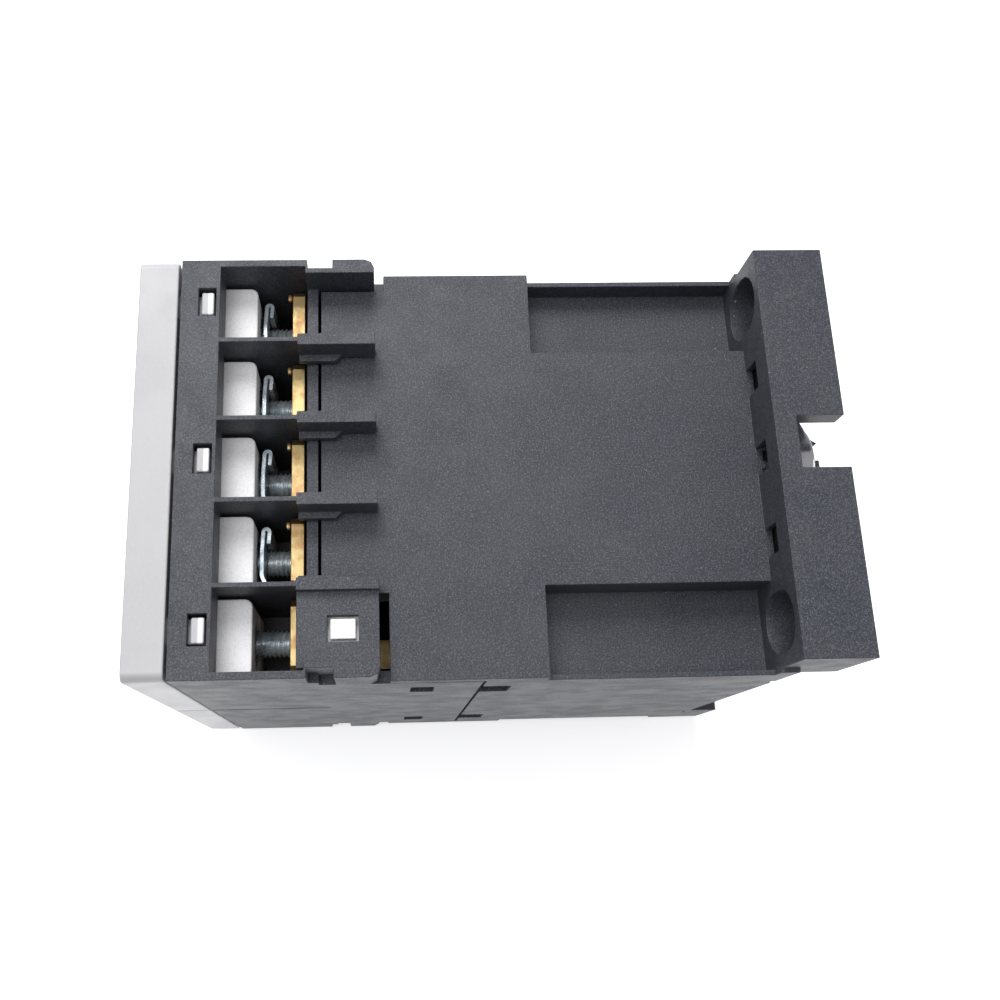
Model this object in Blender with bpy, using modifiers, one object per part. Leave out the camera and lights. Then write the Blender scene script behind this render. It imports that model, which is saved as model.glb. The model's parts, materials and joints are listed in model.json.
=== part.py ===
"""Contactor-type control relay, modelled as separate closed solids that fit and move together.

X is the width and Y the depth, with the front face towards -Y and the rail side towards +Y. Z is the
height. The origin is the middle of the flat that rests on the mounting rail. Units are metres.
The relay has five terminal columns: four contact poles, and the coil in the last column towards +X.
"""

import math

import bmesh
import bpy
from mathutils import Matrix, Vector

MM = 0.001

# Overall sizes
WIDTH = 45.0 * MM
HEIGHT = 57.5 * MM  # of the terminal block
DEPTH = 73.0 * MM
RAIL_DEPTH = 5.4 * MM  # rear plane to the flat that rests on the rail
RAIL_HEIGHT = 35.0 * MM  # the mounting rail

# Clearances
SEAM = 0.3 * MM  # between mouldings that meet
FIT = 0.3 * MM  # around a piece in its pocket
POLE_GAP = 0.3 * MM  # left between armature and core when the magnet closes

# Terminal block
CONTACT_POLES = 4
COLUMNS = CONTACT_POLES + 1
OUTER_WALL = 0.8 * MM
RIB = 0.5 * MM
SLAB_DEPTH = 4.45 * MM  # front wall ahead of the wire chambers
CHAMBER_DEPTH = 9.0 * MM
CHAMBER_HEIGHT = 16.75 * MM  # how far a wire chamber reaches in from the terminal end
CHAMBER_FLOOR = 1.2 * MM
CHAMBER_BACK = 1.2 * MM
FINGER_LENGTH = 7.4 * MM  # behind the chambers
FINGER_WIDTH = 1.3 * MM
FINGER_ROOT = 0.8 * MM  # reach of a finger into the chambers
LEDGE_WIDTH = 0.75 * MM
LEDGE_LENGTH = 4.6 * MM
LEDGE_HEIGHT = 0.8 * MM
END_FINGER_WIDTH = 1.6 * MM
END_NOTCH_LENGTH = 2.7 * MM
END_NOTCH_DEPTH = 1.0 * MM
END_FINGER_ROUND = 0.3 * MM
FRONT_SKIN = 2.2 * MM  # housing wall between contact cavity and cover
SIDE_WALL = 1.3 * MM
SIDE_WALL_REACH = 9.7 * MM  # side walls behind the front edge of the base skirt
COIL_PLATE = 1.0 * MM
COIL_PLATE_DROP = 0.75 * MM
COIL_WINDOW = (2.6 * MM, 3.1 * MM)
SIDE_GROOVE = 0.5 * MM

# Front cover
COVER_DEPTH = 4.15 * MM
COVER_CORNER = 1.0 * MM
SLEEVE_HEIGHT = 11.3 * MM
SLEEVE_CORNER = 0.8 * MM
ACCESS_BORE = 6.2 * MM
LATCH_WIDTH = 2.6 * MM
LATCH_THICKNESS = 1.7 * MM
LATCH_DEPTH_BELOW_TOP = 1.2 * MM
LATCH_NUB = 0.8 * MM
LATCH_WINDOW_LENGTH = 1.9 * MM
LATCH_SKIN = 0.4 * MM
TONGUE_SIZE = (6.0 * MM, 3.2 * MM)
TONGUE_SINK = 0.8 * MM  # below the cover's face at rest
MARKER_SIZE = (16.0 * MM, 7.0 * MM, 0.8 * MM)
MARKER_DROP = 9.7 * MM  # centre of the marker plate below the middle
ACCESSORY_SLOT = (2.6 * MM, 9.0 * MM, 2.5 * MM)

# Terminals
SCREW_DIAMETER = 3.0 * MM
SCREW_DROP = 10.05 * MM  # screw axis below the terminal end
HEAD_DIAMETER = 5.2 * MM
HEAD_HEIGHT = 2.0 * MM
HEAD_BEVEL = (0.78 * MM, 0.6 * MM)  # across, down
SCREW_POINT = 0.6 * MM
RECESS_WIDTH = 0.8 * MM
RECESS_LENGTH = 3.2 * MM
RECESS_DEPTH = 1.1 * MM
THREAD_CLEARANCE = 0.15 * MM
SCREW_PAST_BAR = 0.5 * MM
BAR_THICKNESS = 1.4 * MM
BAR_TOP_DROP = 4.75 * MM  # terminal bar's edge below the terminal end
BAR_CHAMFER = 0.8 * MM
STRIP_WIDTH = 4.0 * MM
STRIP_END = 4.0 * MM  # distance of a contact strip's end from the middle
WASHER_SIZE = (6.8 * MM, 6.2 * MM, 0.8 * MM)
WASHER_FLAT = 4.4 * MM
WASHER_BEND = 0.5 * MM
CLAMP_TRAVEL = 2.0 * MM
COIL_WASHER_THICKNESS = 0.6 * MM
COIL_CLAMP_TRAVEL = 3.5 * MM
CLAMP_REST = 0.2 * MM  # left between a closed clamp and its bar

# Contacts and carrier
CONTACT_GAP = 2.5 * MM
CARRIER_TRAVEL = 3.0 * MM
TIP_DIAMETER = 3.0 * MM
FIXED_TIP_HEIGHT = 0.6 * MM
BRIDGE_TIP_HEIGHT = 0.5 * MM
TIP_OFFSET = 5.6 * MM  # contact tips from the middle
BRIDGE_SIZE = (4.0 * MM, 14.4 * MM, 0.8 * MM)
CARRIER_THICKNESS = 4.8 * MM
CARRIER_FRONT_WALL = 0.8 * MM
CARRIER_REAR_WALL = 1.4 * MM
CARRIER_END = 3.0 * MM  # carrier bar past the outer columns
CARRIER_WEB = 18.0 * MM
CONTACT_SPRING = (3.0 * MM, 0.4 * MM, 3.0)  # mean diameter, wire, turns
CONTACT_SPRING_ROOM = 3.6 * MM

# Magnet
CORE_STACK = 12.0 * MM
CORE_HEIGHT = 36.0 * MM
CORE_DEPTH = 24.0 * MM
YOKE = 6.0 * MM
CENTRE_LEG = 10.0 * MM
OUTER_LEG = 5.5 * MM
CORE_PAD = 0.9 * MM
CORE_PAD_WIDTH = 19.2 * MM
ARMATURE_THICKNESS = 5.5 * MM
PIN_DIAMETER = 2.8 * MM
PIN_CLEARANCE = 0.2 * MM
EAR_WIDTH = 2.5 * MM
EAR_HEIGHT = 8.0 * MM
WING_LENGTH = 7.4 * MM
WING_THICKNESS = 2.4 * MM
BOBBIN_WALL = 0.9 * MM
BOBBIN_FLANGE = 1.2 * MM
BOBBIN_SIDE_GAP = 1.2 * MM  # front flange to the housing's side walls
BOBBIN_REAR_WIDTH = 29.0 * MM
WINDING_INSET = 0.7 * MM  # winding below the flanges' rims
WINDING_WIDTH = 27.0 * MM
WINDING_CORNER = 3.0 * MM
BOBBIN_BEHIND_POLES = 0.9 * MM
RETURN_SPRING = (4.8 * MM, 0.5 * MM, 4.5)
RETURN_SPRING_OFFSET = 12.8 * MM
RING_BAR = 0.8 * MM
RING_GROOVE_DEPTH = 1.5 * MM
RING_FROM_EDGE = 1.4 * MM

# Base
BASE_HEIGHT = 50.0 * MM
BASE_END_WALL = 1.5 * MM
BASE_SIDE_WALL = 1.3 * MM
SKIRT_BEHIND_FINGERS = 1.0 * MM
SEAT_THICKNESS = 2.0 * MM
RECESS_LENGTH_Y = 23.55 * MM
RECESS_FLOOR_DROP = 4.4 * MM
RECESS_BESIDE_SCREW = 1.35 * MM  # recess past the counterbore's inner side
RECESS_RIM = 0.57 * MM
RECESS_RIM_DROP = 1.8 * MM
SNAP_WINDOW_A = (2.5 * MM, 4.4 * MM)
SNAP_WINDOW_B = (3.2 * MM, 4.9 * MM)
SNAP_A_FROM_SEAM = 5.0 * MM
SNAP_CENTRE = 17.2 * MM
SNAP_B_CENTRE = 16.4 * MM
SNAP_ARM = 1.3 * MM
SNAP_NUB = 1.1 * MM
SNAP_ARM_PAST_WINDOW = 1.6 * MM

# Rail flanges
FLANGE_DEPTH = 7.35 * MM
FLANGE_INSET = 0.5 * MM  # behind the side faces
FLANGE_OVERHANG = 2.3 * MM  # past the terminal block
FLANGE_OFF_RAIL = 3.5 * MM  # flange's inner side past the rail's edge
FLANGE_LIP = 2.4 * MM
FIXING_SPACING_X = 35.0 * MM
FIXING_EDGE = 5.05 * MM  # fixing slot centre from the flange's end face
FIXING_SLOT = (4.6 * MM, 6.2 * MM)
FIXING_COUNTERBORE = (6.3 * MM, 7.8 * MM)
FIXING_COUNTERBORE_DEPTH = 4.0 * MM
HOOK_OVERLAP = 1.1 * MM
HOOK_THICKNESS = 1.4 * MM
HOOK_WIDTH = 6.0 * MM
HOOK_INSET = 1.0 * MM  # lower hook's ends behind the flange's sides
HOOK_RELIEF = 0.4 * MM  # seat face cut back under the hooks' noses
RAIL_SHEET = 1.0 * MM
RAIL_PLAY = 0.3 * MM
NOTCH = (-3.0 * MM, 2.6 * MM, 5.0 * MM)  # from, to, depth
NOTCH_RELIEF = 4.0 * MM  # rear wall cut back beside the notch, under the lip
POCKET_WIDTH = 26.8 * MM
POCKET_FRONT_WALL = 0.75 * MM
POCKET_REAR_WALL = 1.5 * MM
FOOT_WINDOW = (3.0 * MM, 3.0 * MM)
FOOT_WINDOW_PITCH = 9.0 * MM
TEETH = ((-2.6 * MM, -1.2 * MM, True), (0.0 * MM, 0.85 * MM, False))  # from, to, pointed
TOOTH_HEIGHT = 1.8 * MM
TOOTH_DROP = 5.65 * MM
TOOTH_POINT = 1.0 * MM
TOOTH_SET_BACK = 0.75 * MM  # tips behind the rear plane
LEAF_THICKNESS = 0.5 * MM
LEAF_WIDTH = 2.5 * MM
LEAF_SPAN = 25.6 * MM
LEAF_OFF_RAIL = 0.1 * MM  # feet to the rail's edge
LEAF_CROWN_DROP = 1.5 * MM  # below the lip
LEAF_STEPS = 24
LEAF_SLOPE_STEP = 0.02  # share of the half span over which the slope is taken

ROUND_SIDES = 20
WELD = 0.001 * MM
OVERSHOOT = 1.0 * MM  # cutters past the faces that they open

# Stations along the depth
FRONT_Y = RAIL_DEPTH - DEPTH
COVER_REAR_Y = FRONT_Y + COVER_DEPTH
HOUSING_FRONT_Y = COVER_REAR_Y + SEAM
CHAMBER_FRONT_Y = COVER_REAR_Y + SLAB_DEPTH
CHAMBER_REAR_Y = CHAMBER_FRONT_Y + CHAMBER_DEPTH
CHAMBER_BACK_Y = CHAMBER_REAR_Y + CHAMBER_BACK
FINGER_REAR_Y = CHAMBER_REAR_Y + FINGER_LENGTH
SKIRT_FRONT_Y = FINGER_REAR_Y + SKIRT_BEHIND_FINGERS
SIDE_SEAM_Y = SKIRT_FRONT_Y + SIDE_WALL_REACH
FLANGE_FRONT_Y = RAIL_DEPTH - FLANGE_DEPTH
RECESS_FRONT_Y = FLANGE_FRONT_Y - RECESS_LENGTH_Y
BAR_REAR_Y = CHAMBER_REAR_Y - FIT
BAR_FRONT_Y = BAR_REAR_Y - BAR_THICKNESS
WASHER_FRONT_Y = BAR_FRONT_Y - CLAMP_REST - CLAMP_TRAVEL - WASHER_BEND - WASHER_SIZE[2]
SLEEVE_REAR_Y = WASHER_FRONT_Y - FIT
CAVITY_FRONT_Y = HOUSING_FRONT_Y + FRONT_SKIN
SEAT_INNER_Y = -SEAT_THICKNESS
CORE_REAR_Y = SEAT_INNER_Y - CORE_PAD - 2 * FIT
POLE_FACE_Y = CORE_REAR_Y - CORE_DEPTH
ARMATURE_REAR_Y = POLE_FACE_Y - POLE_GAP - CARRIER_TRAVEL
ARMATURE_FRONT_Y = ARMATURE_REAR_Y - ARMATURE_THICKNESS
ARMATURE_PIN_Y = (ARMATURE_REAR_Y + ARMATURE_FRONT_Y) / 2
BOBBIN_REAR_Y = CORE_REAR_Y - YOKE - FIT
BOBBIN_FRONT_Y = POLE_FACE_Y + BOBBIN_BEHIND_POLES

# Places across the width and height
HALF_WIDTH = WIDTH / 2
HALF_HEIGHT = HEIGHT / 2
PITCH = (WIDTH - 2 * OUTER_WALL + RIB) / COLUMNS
COLUMN_X = [(i - (COLUMNS - 1) / 2) * PITCH for i in range(COLUMNS)]
POLE_X = COLUMN_X[:CONTACT_POLES]
COIL_X = COLUMN_X[-1]
RIB_X = [(a + b) / 2 for a, b in zip(COLUMN_X, COLUMN_X[1:])]
CHAMBER_HALF = (PITCH - RIB) / 2
CHAMBER_LOW_Z = HALF_HEIGHT - CHAMBER_HEIGHT
CAVITY_HALF = CHAMBER_LOW_Z - CHAMBER_FLOOR
SCREW_Z = HALF_HEIGHT - SCREW_DROP
BAR_TOP_Z = HALF_HEIGHT - BAR_TOP_DROP
BASE_HALF = BASE_HEIGHT / 2
BASE_INNER_HALF = BASE_HALF - BASE_END_WALL
INNER_X = HALF_WIDTH - SIDE_WALL
END_FINGER_X = HALF_WIDTH - END_FINGER_WIDTH
FLANGE_HALF = HALF_HEIGHT + FLANGE_OVERHANG
FLANGE_X = HALF_WIDTH - FLANGE_INSET
FLANGE_INNER_Z = RAIL_HEIGHT / 2 + FLANGE_OFF_RAIL
RECESS_X = FIXING_SPACING_X / 2 - FIXING_COUNTERBORE[0] / 2 - RECESS_BESIDE_SCREW
RECESS_FLOOR_Z = BASE_HALF - RECESS_FLOOR_DROP
LATCH_TOP_Z = HALF_HEIGHT - LATCH_DEPTH_BELOW_TOP
LATCH_X = [COLUMN_X[0], COLUMN_X[COLUMNS // 2], COLUMN_X[-1]]

PARTS = "control_relay"
TOOLS = "control_relay_cutters"


def clear_scene():
    """Remove every object that the scene starts with."""
    for item in list(bpy.data.objects):
        bpy.data.objects.remove(item, do_unlink=True)


def new_collection(name):
    home = bpy.data.collections.new(name)
    bpy.context.scene.collection.children.link(home)
    return home


def material(name, colour, roughness, metallic=0.0):
    """A Principled material of one colour."""
    made = bpy.data.materials.new(name)
    made.use_nodes = True
    shader = made.node_tree.nodes["Principled BSDF"]
    shader.inputs["Base Color"].default_value = (*colour, 1.0)
    shader.inputs["Roughness"].default_value = roughness
    shader.inputs["Metallic"].default_value = metallic
    return made


def finish(item, finish_material):
    """Give a piece its material and move it from the cutters to the parts."""
    item.data.materials.clear()
    item.data.materials.append(finish_material)
    bpy.data.collections[TOOLS].objects.unlink(item)
    bpy.data.collections[PARTS].objects.link(item)
    item.hide_render = False
    item.display_type = "TEXTURED"
    return item


def tool_object(name, data):
    """An object that starts as a cutter or guide."""
    item = bpy.data.objects.new(name, data)
    bpy.data.collections[TOOLS].objects.link(item)
    item.hide_render = True
    item.display_type = "WIRE"
    return item


def block(name, xs, ys, zs):
    """A box between two limits along each axis."""
    low = Vector((min(xs), min(ys), min(zs)))
    high = Vector((max(xs), max(ys), max(zs)))
    mesh = bpy.data.meshes.new(name)
    bm = bmesh.new()
    bmesh.ops.create_cube(bm, size=1.0, matrix=Matrix.Diagonal((*(high - low), 1.0)))
    bm.to_mesh(mesh)
    bm.free()
    item = tool_object(name, mesh)
    item.location = (low + high) / 2
    return item


def blocks(name, limits):
    """Several boxes, clear of each other, in one cutter."""
    mesh = bpy.data.meshes.new(name)
    bm = bmesh.new()
    for xs, ys, zs in limits:
        low = Vector((min(xs), min(ys), min(zs)))
        high = Vector((max(xs), max(ys), max(zs)))
        place = Matrix.Translation((low + high) / 2) @ Matrix.Diagonal((*(high - low), 1.0))
        bmesh.ops.create_cube(bm, size=1.0, matrix=place)
    bm.to_mesh(mesh)
    bm.free()
    return tool_object(name, mesh)


def rods(name, radius, ys, places, sides=ROUND_SIDES):
    """Cylinders along Y, one at each (x, z) place, in one cutter."""
    mesh = bpy.data.meshes.new(name)
    bm = bmesh.new()
    turn = Matrix.Rotation(math.radians(90), 4, "X")
    middle = sum(ys) / 2
    for x, z in places:
        place = Matrix.Translation((x, middle, z)) @ turn
        bmesh.ops.create_cone(
            bm, cap_ends=True, segments=sides, radius1=radius, radius2=radius,
            depth=abs(ys[1] - ys[0]), matrix=place,
        )
    bm.to_mesh(mesh)
    bm.free()
    return tool_object(name, mesh)


def cross_rod(name, radius, xs, y, z, sides=ROUND_SIDES):
    """A cylinder along X, with its origin in its middle."""
    mesh = bpy.data.meshes.new(name)
    bm = bmesh.new()
    bmesh.ops.create_cone(
        bm, cap_ends=True, segments=sides, radius1=radius, radius2=radius,
        depth=abs(xs[1] - xs[0]), matrix=Matrix.Rotation(math.radians(90), 4, "Y"),
    )
    bm.to_mesh(mesh)
    bm.free()
    item = tool_object(name, mesh)
    item.location = (sum(xs) / 2, y, z)
    return item


PLANES = {
    "X": (math.radians(90), 0.0, math.radians(90)),  # outline of (y, z), thick along X
    "Y": (math.radians(90), 0.0, 0.0),  # outline of (x, z), thick along Y
    "Z": (0.0, 0.0, 0.0),  # outline of (x, y), thick along Z
}


def plate(name, outline, limits, along, holes=()):
    """A flat outline, with holes if given, filled and made thick along one axis as a closed mesh."""
    curve = bpy.data.curves.new(name, "CURVE")
    curve.dimensions = "2D"
    curve.fill_mode = "BOTH"
    curve.extrude = abs(limits[1] - limits[0]) / 2
    for loop in (outline, *holes):
        spline = curve.splines.new("POLY")
        spline.points.add(len(loop) - 1)
        for point, (u, v) in zip(spline.points, loop):
            point.co = (u, v, 0.0, 1.0)
        spline.use_cyclic_u = True
    item = tool_object(name, curve)
    item.rotation_euler = PLANES[along]
    item.location = Vector([sum(limits) / 2 if axis == along else 0.0 for axis in "XYZ"])
    return solid_mesh(item)


def solid_mesh(item):
    """The same object as a welded mesh, which a Boolean can read."""
    bpy.context.view_layer.update()
    graph = bpy.context.evaluated_depsgraph_get()
    mesh = bpy.data.meshes.new_from_object(item.evaluated_get(graph))
    name, place = item.name, item.matrix_world.copy()
    bm = bmesh.new()
    bm.from_mesh(mesh)
    bmesh.ops.remove_doubles(bm, verts=bm.verts, dist=WELD)
    bm.to_mesh(mesh)
    bm.free()
    bpy.data.objects.remove(item)
    made = tool_object(name, mesh)
    made.matrix_world = place
    return made


def turned(name, profile, sides=ROUND_SIDES):
    """A profile of (radius, height) points, from top to bottom on its outer side, turned about Z."""
    mesh = bpy.data.meshes.new(name)
    points = [(radius, 0.0, height) for radius, height in profile]
    mesh.from_pydata(points, [(i, i + 1) for i in range(len(points) - 1)], [])
    item = tool_object(name, mesh)
    screw = item.modifiers.new("turn", "SCREW")
    screw.steps = screw.render_steps = sides
    screw.use_merge_vertices = True
    screw.merge_threshold = WELD
    return item


def boolean(item, tool, operation):
    step = item.modifiers.new(f"{operation.lower()}_{tool.name}", "BOOLEAN")
    step.operation = operation
    step.object = tool
    step.solver = "EXACT"


def cut(item, *tools):
    for tool in tools:
        boolean(item, tool, "DIFFERENCE")


def join(item, *tools):
    for tool in tools:
        boolean(item, tool, "UNION")


def open_half(item):
    """Open a finished half where it meets the middle plane."""
    half = solid_mesh(item)
    bm = bmesh.new()
    bm.from_mesh(half.data)
    floor = [face for face in bm.faces
             if all(abs((half.matrix_world @ vert.co).z) < WELD for vert in face.verts)]
    bmesh.ops.delete(bm, geom=floor, context="FACES")
    bm.to_mesh(half.data)
    bm.free()
    return half


def mirror_half(item):
    """Complete a piece that is symmetric about the middle plane from its upper half."""
    half = open_half(item)
    step = half.modifiers.new("mirror", "MIRROR")
    step.use_axis = (False, False, True)
    step.mirror_object = bpy.data.objects.get("middle") or tool_object("middle", None)
    step.merge_threshold = WELD
    return half


def weld_halves(name, upper, lower):
    """One piece from an upper half and a lower half, which is modelled the right way up and turned over."""
    upper, lower = open_half(upper), open_half(lower)
    bm = bmesh.new()
    bm.from_mesh(lower.data)
    bmesh.ops.transform(bm, matrix=Matrix.Diagonal((1, 1, -1, 1)) @ lower.matrix_world, verts=bm.verts)
    bmesh.ops.reverse_faces(bm, faces=bm.faces)
    upper.data.transform(upper.matrix_world)
    bm.from_mesh(upper.data)
    bmesh.ops.remove_doubles(bm, verts=bm.verts, dist=WELD)
    mesh = bpy.data.meshes.new(name)
    bm.to_mesh(mesh)
    bm.free()
    for half in (upper, lower):
        bpy.data.objects.remove(half)
    return tool_object(name, mesh)


def round_off(item, degrees=35):
    item.data.shade_smooth()
    item.data.set_sharp_from_angle(angle=math.radians(degrees))


def rounded_rectangle(half_u, half_v, radius, steps=4):
    """Outline of a rectangle whose corners are arcs, anticlockwise."""
    points = []
    for quarter, (u, v) in enumerate(((1, 1), (-1, 1), (-1, -1), (1, -1))):
        for step in range(steps + 1):
            angle = math.radians(90 * (quarter + step / steps))
            points.append((
                u * (half_u - radius) + radius * math.cos(angle),
                v * (half_v - radius) + radius * math.sin(angle),
            ))
    return points


def moved(outline, du, dv):
    return [(u + du, v + dv) for u, v in outline]


def oval(width, height, steps=8):
    """Outline of a slot with round ends, taller than it is wide."""
    radius = width / 2
    rise = height / 2 - radius
    points = []
    for side in (1, -1):
        for step in range(steps + 1):
            angle = math.radians(180 * step / steps) + (0 if side == 1 else math.pi)
            points.append((radius * math.cos(angle), side * rise + radius * math.sin(angle)))
    return points


def coil_spring(name, centre, length, size):
    """A helical wire along Y that starts at the centre point, as one tube."""
    mean, wire, turns = size
    steps = round(turns * 10)
    curve = bpy.data.curves.new(name, "CURVE")
    curve.dimensions = "3D"
    curve.bevel_depth = wire / 2
    curve.bevel_resolution = 1
    curve.use_fill_caps = True
    spline = curve.splines.new("POLY")
    spline.points.add(steps)
    rise = length - wire
    for i, point in enumerate(spline.points):
        angle = math.tau * turns * i / steps
        point.co = (mean / 2 * math.cos(angle), wire / 2 + rise * i / steps, mean / 2 * math.sin(angle), 1.0)
    item = tool_object(name, curve)
    item.location = centre
    return solid_mesh(item)


# ---------------------------------------------------------------- housing mouldings


def make_front_cover(plastic):
    """Cover plate with ten screwdriver guide sleeves, six latch hooks and the indicator slot."""
    cover = plate("front_cover", rounded_rectangle(HALF_WIDTH, HALF_HEIGHT, COVER_CORNER),
                  (FRONT_Y, COVER_REAR_Y), "Y")
    sleeve_half = CHAMBER_HALF - FIT
    for end in (1, -1):
        for column, x in enumerate(COLUMN_X):
            corner = [(x - sleeve_half + SLEEVE_CORNER * (1 - math.sin(math.radians(a))),
                       SLEEVE_REAR_Y - SLEEVE_CORNER * (1 - math.cos(math.radians(a))))
                      for a in (90, 60, 30, 0)]
            outline = [(x + sleeve_half, COVER_REAR_Y - SEAM), (x + sleeve_half, SLEEVE_REAR_Y)]
            outline += corner[::-1] + [(x - sleeve_half, COVER_REAR_Y - SEAM)]
            low, high = SCREW_Z - SLEEVE_HEIGHT / 2, SCREW_Z + SLEEVE_HEIGHT / 2
            sleeve = plate(f"sleeve_{end}_{column}", outline, (end * low, end * high), "Z")
            join(cover, sleeve)
        for number, x in enumerate(LATCH_X):
            arm_end = CHAMBER_FRONT_Y - LATCH_SKIN - FIT
            low, high = LATCH_TOP_Z - LATCH_THICKNESS, LATCH_TOP_Z
            half = LATCH_WIDTH / 2
            arm = block(f"latch_arm_{end}_{number}", (x - half, x + half),
                        (COVER_REAR_Y - SEAM, arm_end), (end * low, end * high))
            nub = block(f"latch_nub_{end}_{number}", (x - half, x + half),
                        (arm_end - LATCH_WINDOW_LENGTH + 2 * FIT, arm_end),
                        (end * (high - FIT), end * (high + LATCH_NUB)))
            join(arm, nub)
            join(cover, arm)
    bores = rods("access_bores", ACCESS_BORE / 2, (FRONT_Y - OVERSHOOT, SLEEVE_REAR_Y + OVERSHOOT),
                 [(x, end * SCREW_Z) for x in COLUMN_X for end in (1, -1)])
    wide, tall = TONGUE_SIZE
    slot = block("indicator_slot", (-wide / 2 - FIT, wide / 2 + FIT),
                 (FRONT_Y - OVERSHOOT, COVER_REAR_Y + OVERSHOOT), (-tall / 2 - FIT, tall / 2 + FIT))
    marker_wide, marker_tall, marker_deep = MARKER_SIZE
    marker = block("marker_recess", (-marker_wide / 2 - FIT, marker_wide / 2 + FIT),
                   (FRONT_Y - OVERSHOOT, FRONT_Y + marker_deep + FIT),
                   (-MARKER_DROP - marker_tall / 2 - FIT, -MARKER_DROP + marker_tall / 2 + FIT))
    slot_wide, slot_tall, slot_deep = ACCESSORY_SLOT
    accessory = blocks("accessory_slots", [
        ((side * (COIL_X - slot_wide / 2), side * (COIL_X + slot_wide / 2)),
         (FRONT_Y - OVERSHOOT, FRONT_Y + slot_deep), (-slot_tall / 2, slot_tall / 2))
        for side in (1, -1)])
    cut(cover, bores, slot, marker, accessory,
        side_grooves("cover_grooves", (FRONT_Y - OVERSHOOT, COVER_REAR_Y + OVERSHOOT)))
    return finish(cover, plastic)


def side_grooves(name, ys):
    """Fine grooves along the middle of both side faces."""
    half = SIDE_GROOVE / 2
    return blocks(name, [
        ((side * (HALF_WIDTH - SIDE_GROOVE), side * (HALF_WIDTH + OVERSHOOT)), ys, (-half, half))
        for side in (1, -1)])


def make_terminal_housing(plastic):
    """Front moulding with the wire chambers, ribs and fingers of both ends, and the contact cavity."""
    below = -OVERSHOOT
    housing = block("terminal_housing", (-HALF_WIDTH, HALF_WIDTH), (HOUSING_FRONT_Y, CHAMBER_REAR_Y),
                    (0.0, HALF_HEIGHT))
    join(housing,
         block("chamber_back", (-HALF_WIDTH, HALF_WIDTH), (CHAMBER_REAR_Y - RIB, CHAMBER_BACK_Y),
               (0.0, BASE_HALF)),
         block("side_walls", (-HALF_WIDTH, HALF_WIDTH), (CHAMBER_BACK_Y - RIB, SIDE_SEAM_Y - SEAM / 2),
               (0.0, BASE_INNER_HALF - SEAM)))
    chambers = [((x - CHAMBER_HALF, x + CHAMBER_HALF), (CHAMBER_FRONT_Y, CHAMBER_REAR_Y),
                 (CHAMBER_LOW_Z, HALF_HEIGHT + OVERSHOOT)) for x in COLUMN_X]
    low, high = SCREW_Z - SLEEVE_HEIGHT / 2 - FIT, SCREW_Z + SLEEVE_HEIGHT / 2 + FIT
    passages = [((x - CHAMBER_HALF, x + CHAMBER_HALF),
                 (HOUSING_FRONT_Y - OVERSHOOT, CHAMBER_FRONT_Y + OVERSHOOT), (low, high)) for x in COLUMN_X]
    half = LATCH_WIDTH / 2 + FIT
    slot_end = CHAMBER_FRONT_Y - LATCH_SKIN
    slots = [((x - half, x + half), (HOUSING_FRONT_Y - OVERSHOOT, slot_end),
              (LATCH_TOP_Z - LATCH_THICKNESS - FIT, LATCH_TOP_Z + FIT)) for x in LATCH_X]
    windows = [((x - half, x + half), (slot_end - LATCH_WINDOW_LENGTH, slot_end),
                (LATCH_TOP_Z, HALF_HEIGHT + OVERSHOOT)) for x in LATCH_X]
    strips = [((x - STRIP_WIDTH / 2 - FIT, x + STRIP_WIDTH / 2 + FIT),
               (BAR_FRONT_Y - FIT, CHAMBER_REAR_Y),
               (CAVITY_HALF - OVERSHOOT, CHAMBER_LOW_Z + OVERSHOOT)) for x in COLUMN_X]
    tongue_wide, tongue_tall = TONGUE_SIZE
    cut(housing,
        block("contact_cavity", (-INNER_X, INNER_X), (CAVITY_FRONT_Y, CHAMBER_BACK_Y + RIB),
              (below, CAVITY_HALF)),
        block("rear_cavity", (-INNER_X, INNER_X), (CHAMBER_BACK_Y, SIDE_SEAM_Y + OVERSHOOT),
              (below, BASE_HALF + OVERSHOOT)),
        blocks("wire_chambers", chambers), blocks("sleeve_passages", passages),
        blocks("latch_slots", slots), blocks("latch_windows", windows), blocks("strip_slots", strips),
        rods("screw_tip_bores", SCREW_DIAMETER / 2 + FIT, (CHAMBER_REAR_Y - RIB, CHAMBER_BACK_Y + RIB),
             [(x, SCREW_Z) for x in COLUMN_X]),
        block("tongue_slot", (-tongue_wide / 2 - FIT, tongue_wide / 2 + FIT),
              (HOUSING_FRONT_Y - OVERSHOOT, CAVITY_FRONT_Y + OVERSHOOT),
              (below, tongue_tall / 2 + FIT)),
        side_grooves("housing_grooves", (HOUSING_FRONT_Y - OVERSHOOT, CHAMBER_BACK_Y)))
    for number, x in enumerate(RIB_X):
        join(housing, *finger(number, x))
    for name, side in (("left", -1), ("right", 1)):
        join(housing, end_finger(name, side))
    add_coil_plate(housing)
    wide, tall = SNAP_WINDOW_A
    window_y = (SIDE_SEAM_Y - SNAP_A_FROM_SEAM - wide, SIDE_SEAM_Y - SNAP_A_FROM_SEAM)
    cut(housing, blocks("snap_windows_a", [
        ((side * (INNER_X - OVERSHOOT), side * (HALF_WIDTH + OVERSHOOT)), window_y,
         (SNAP_CENTRE - tall / 2, SNAP_CENTRE + tall / 2)) for side in (1, -1)]))
    return finish(mirror_half(housing), plastic)


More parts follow.
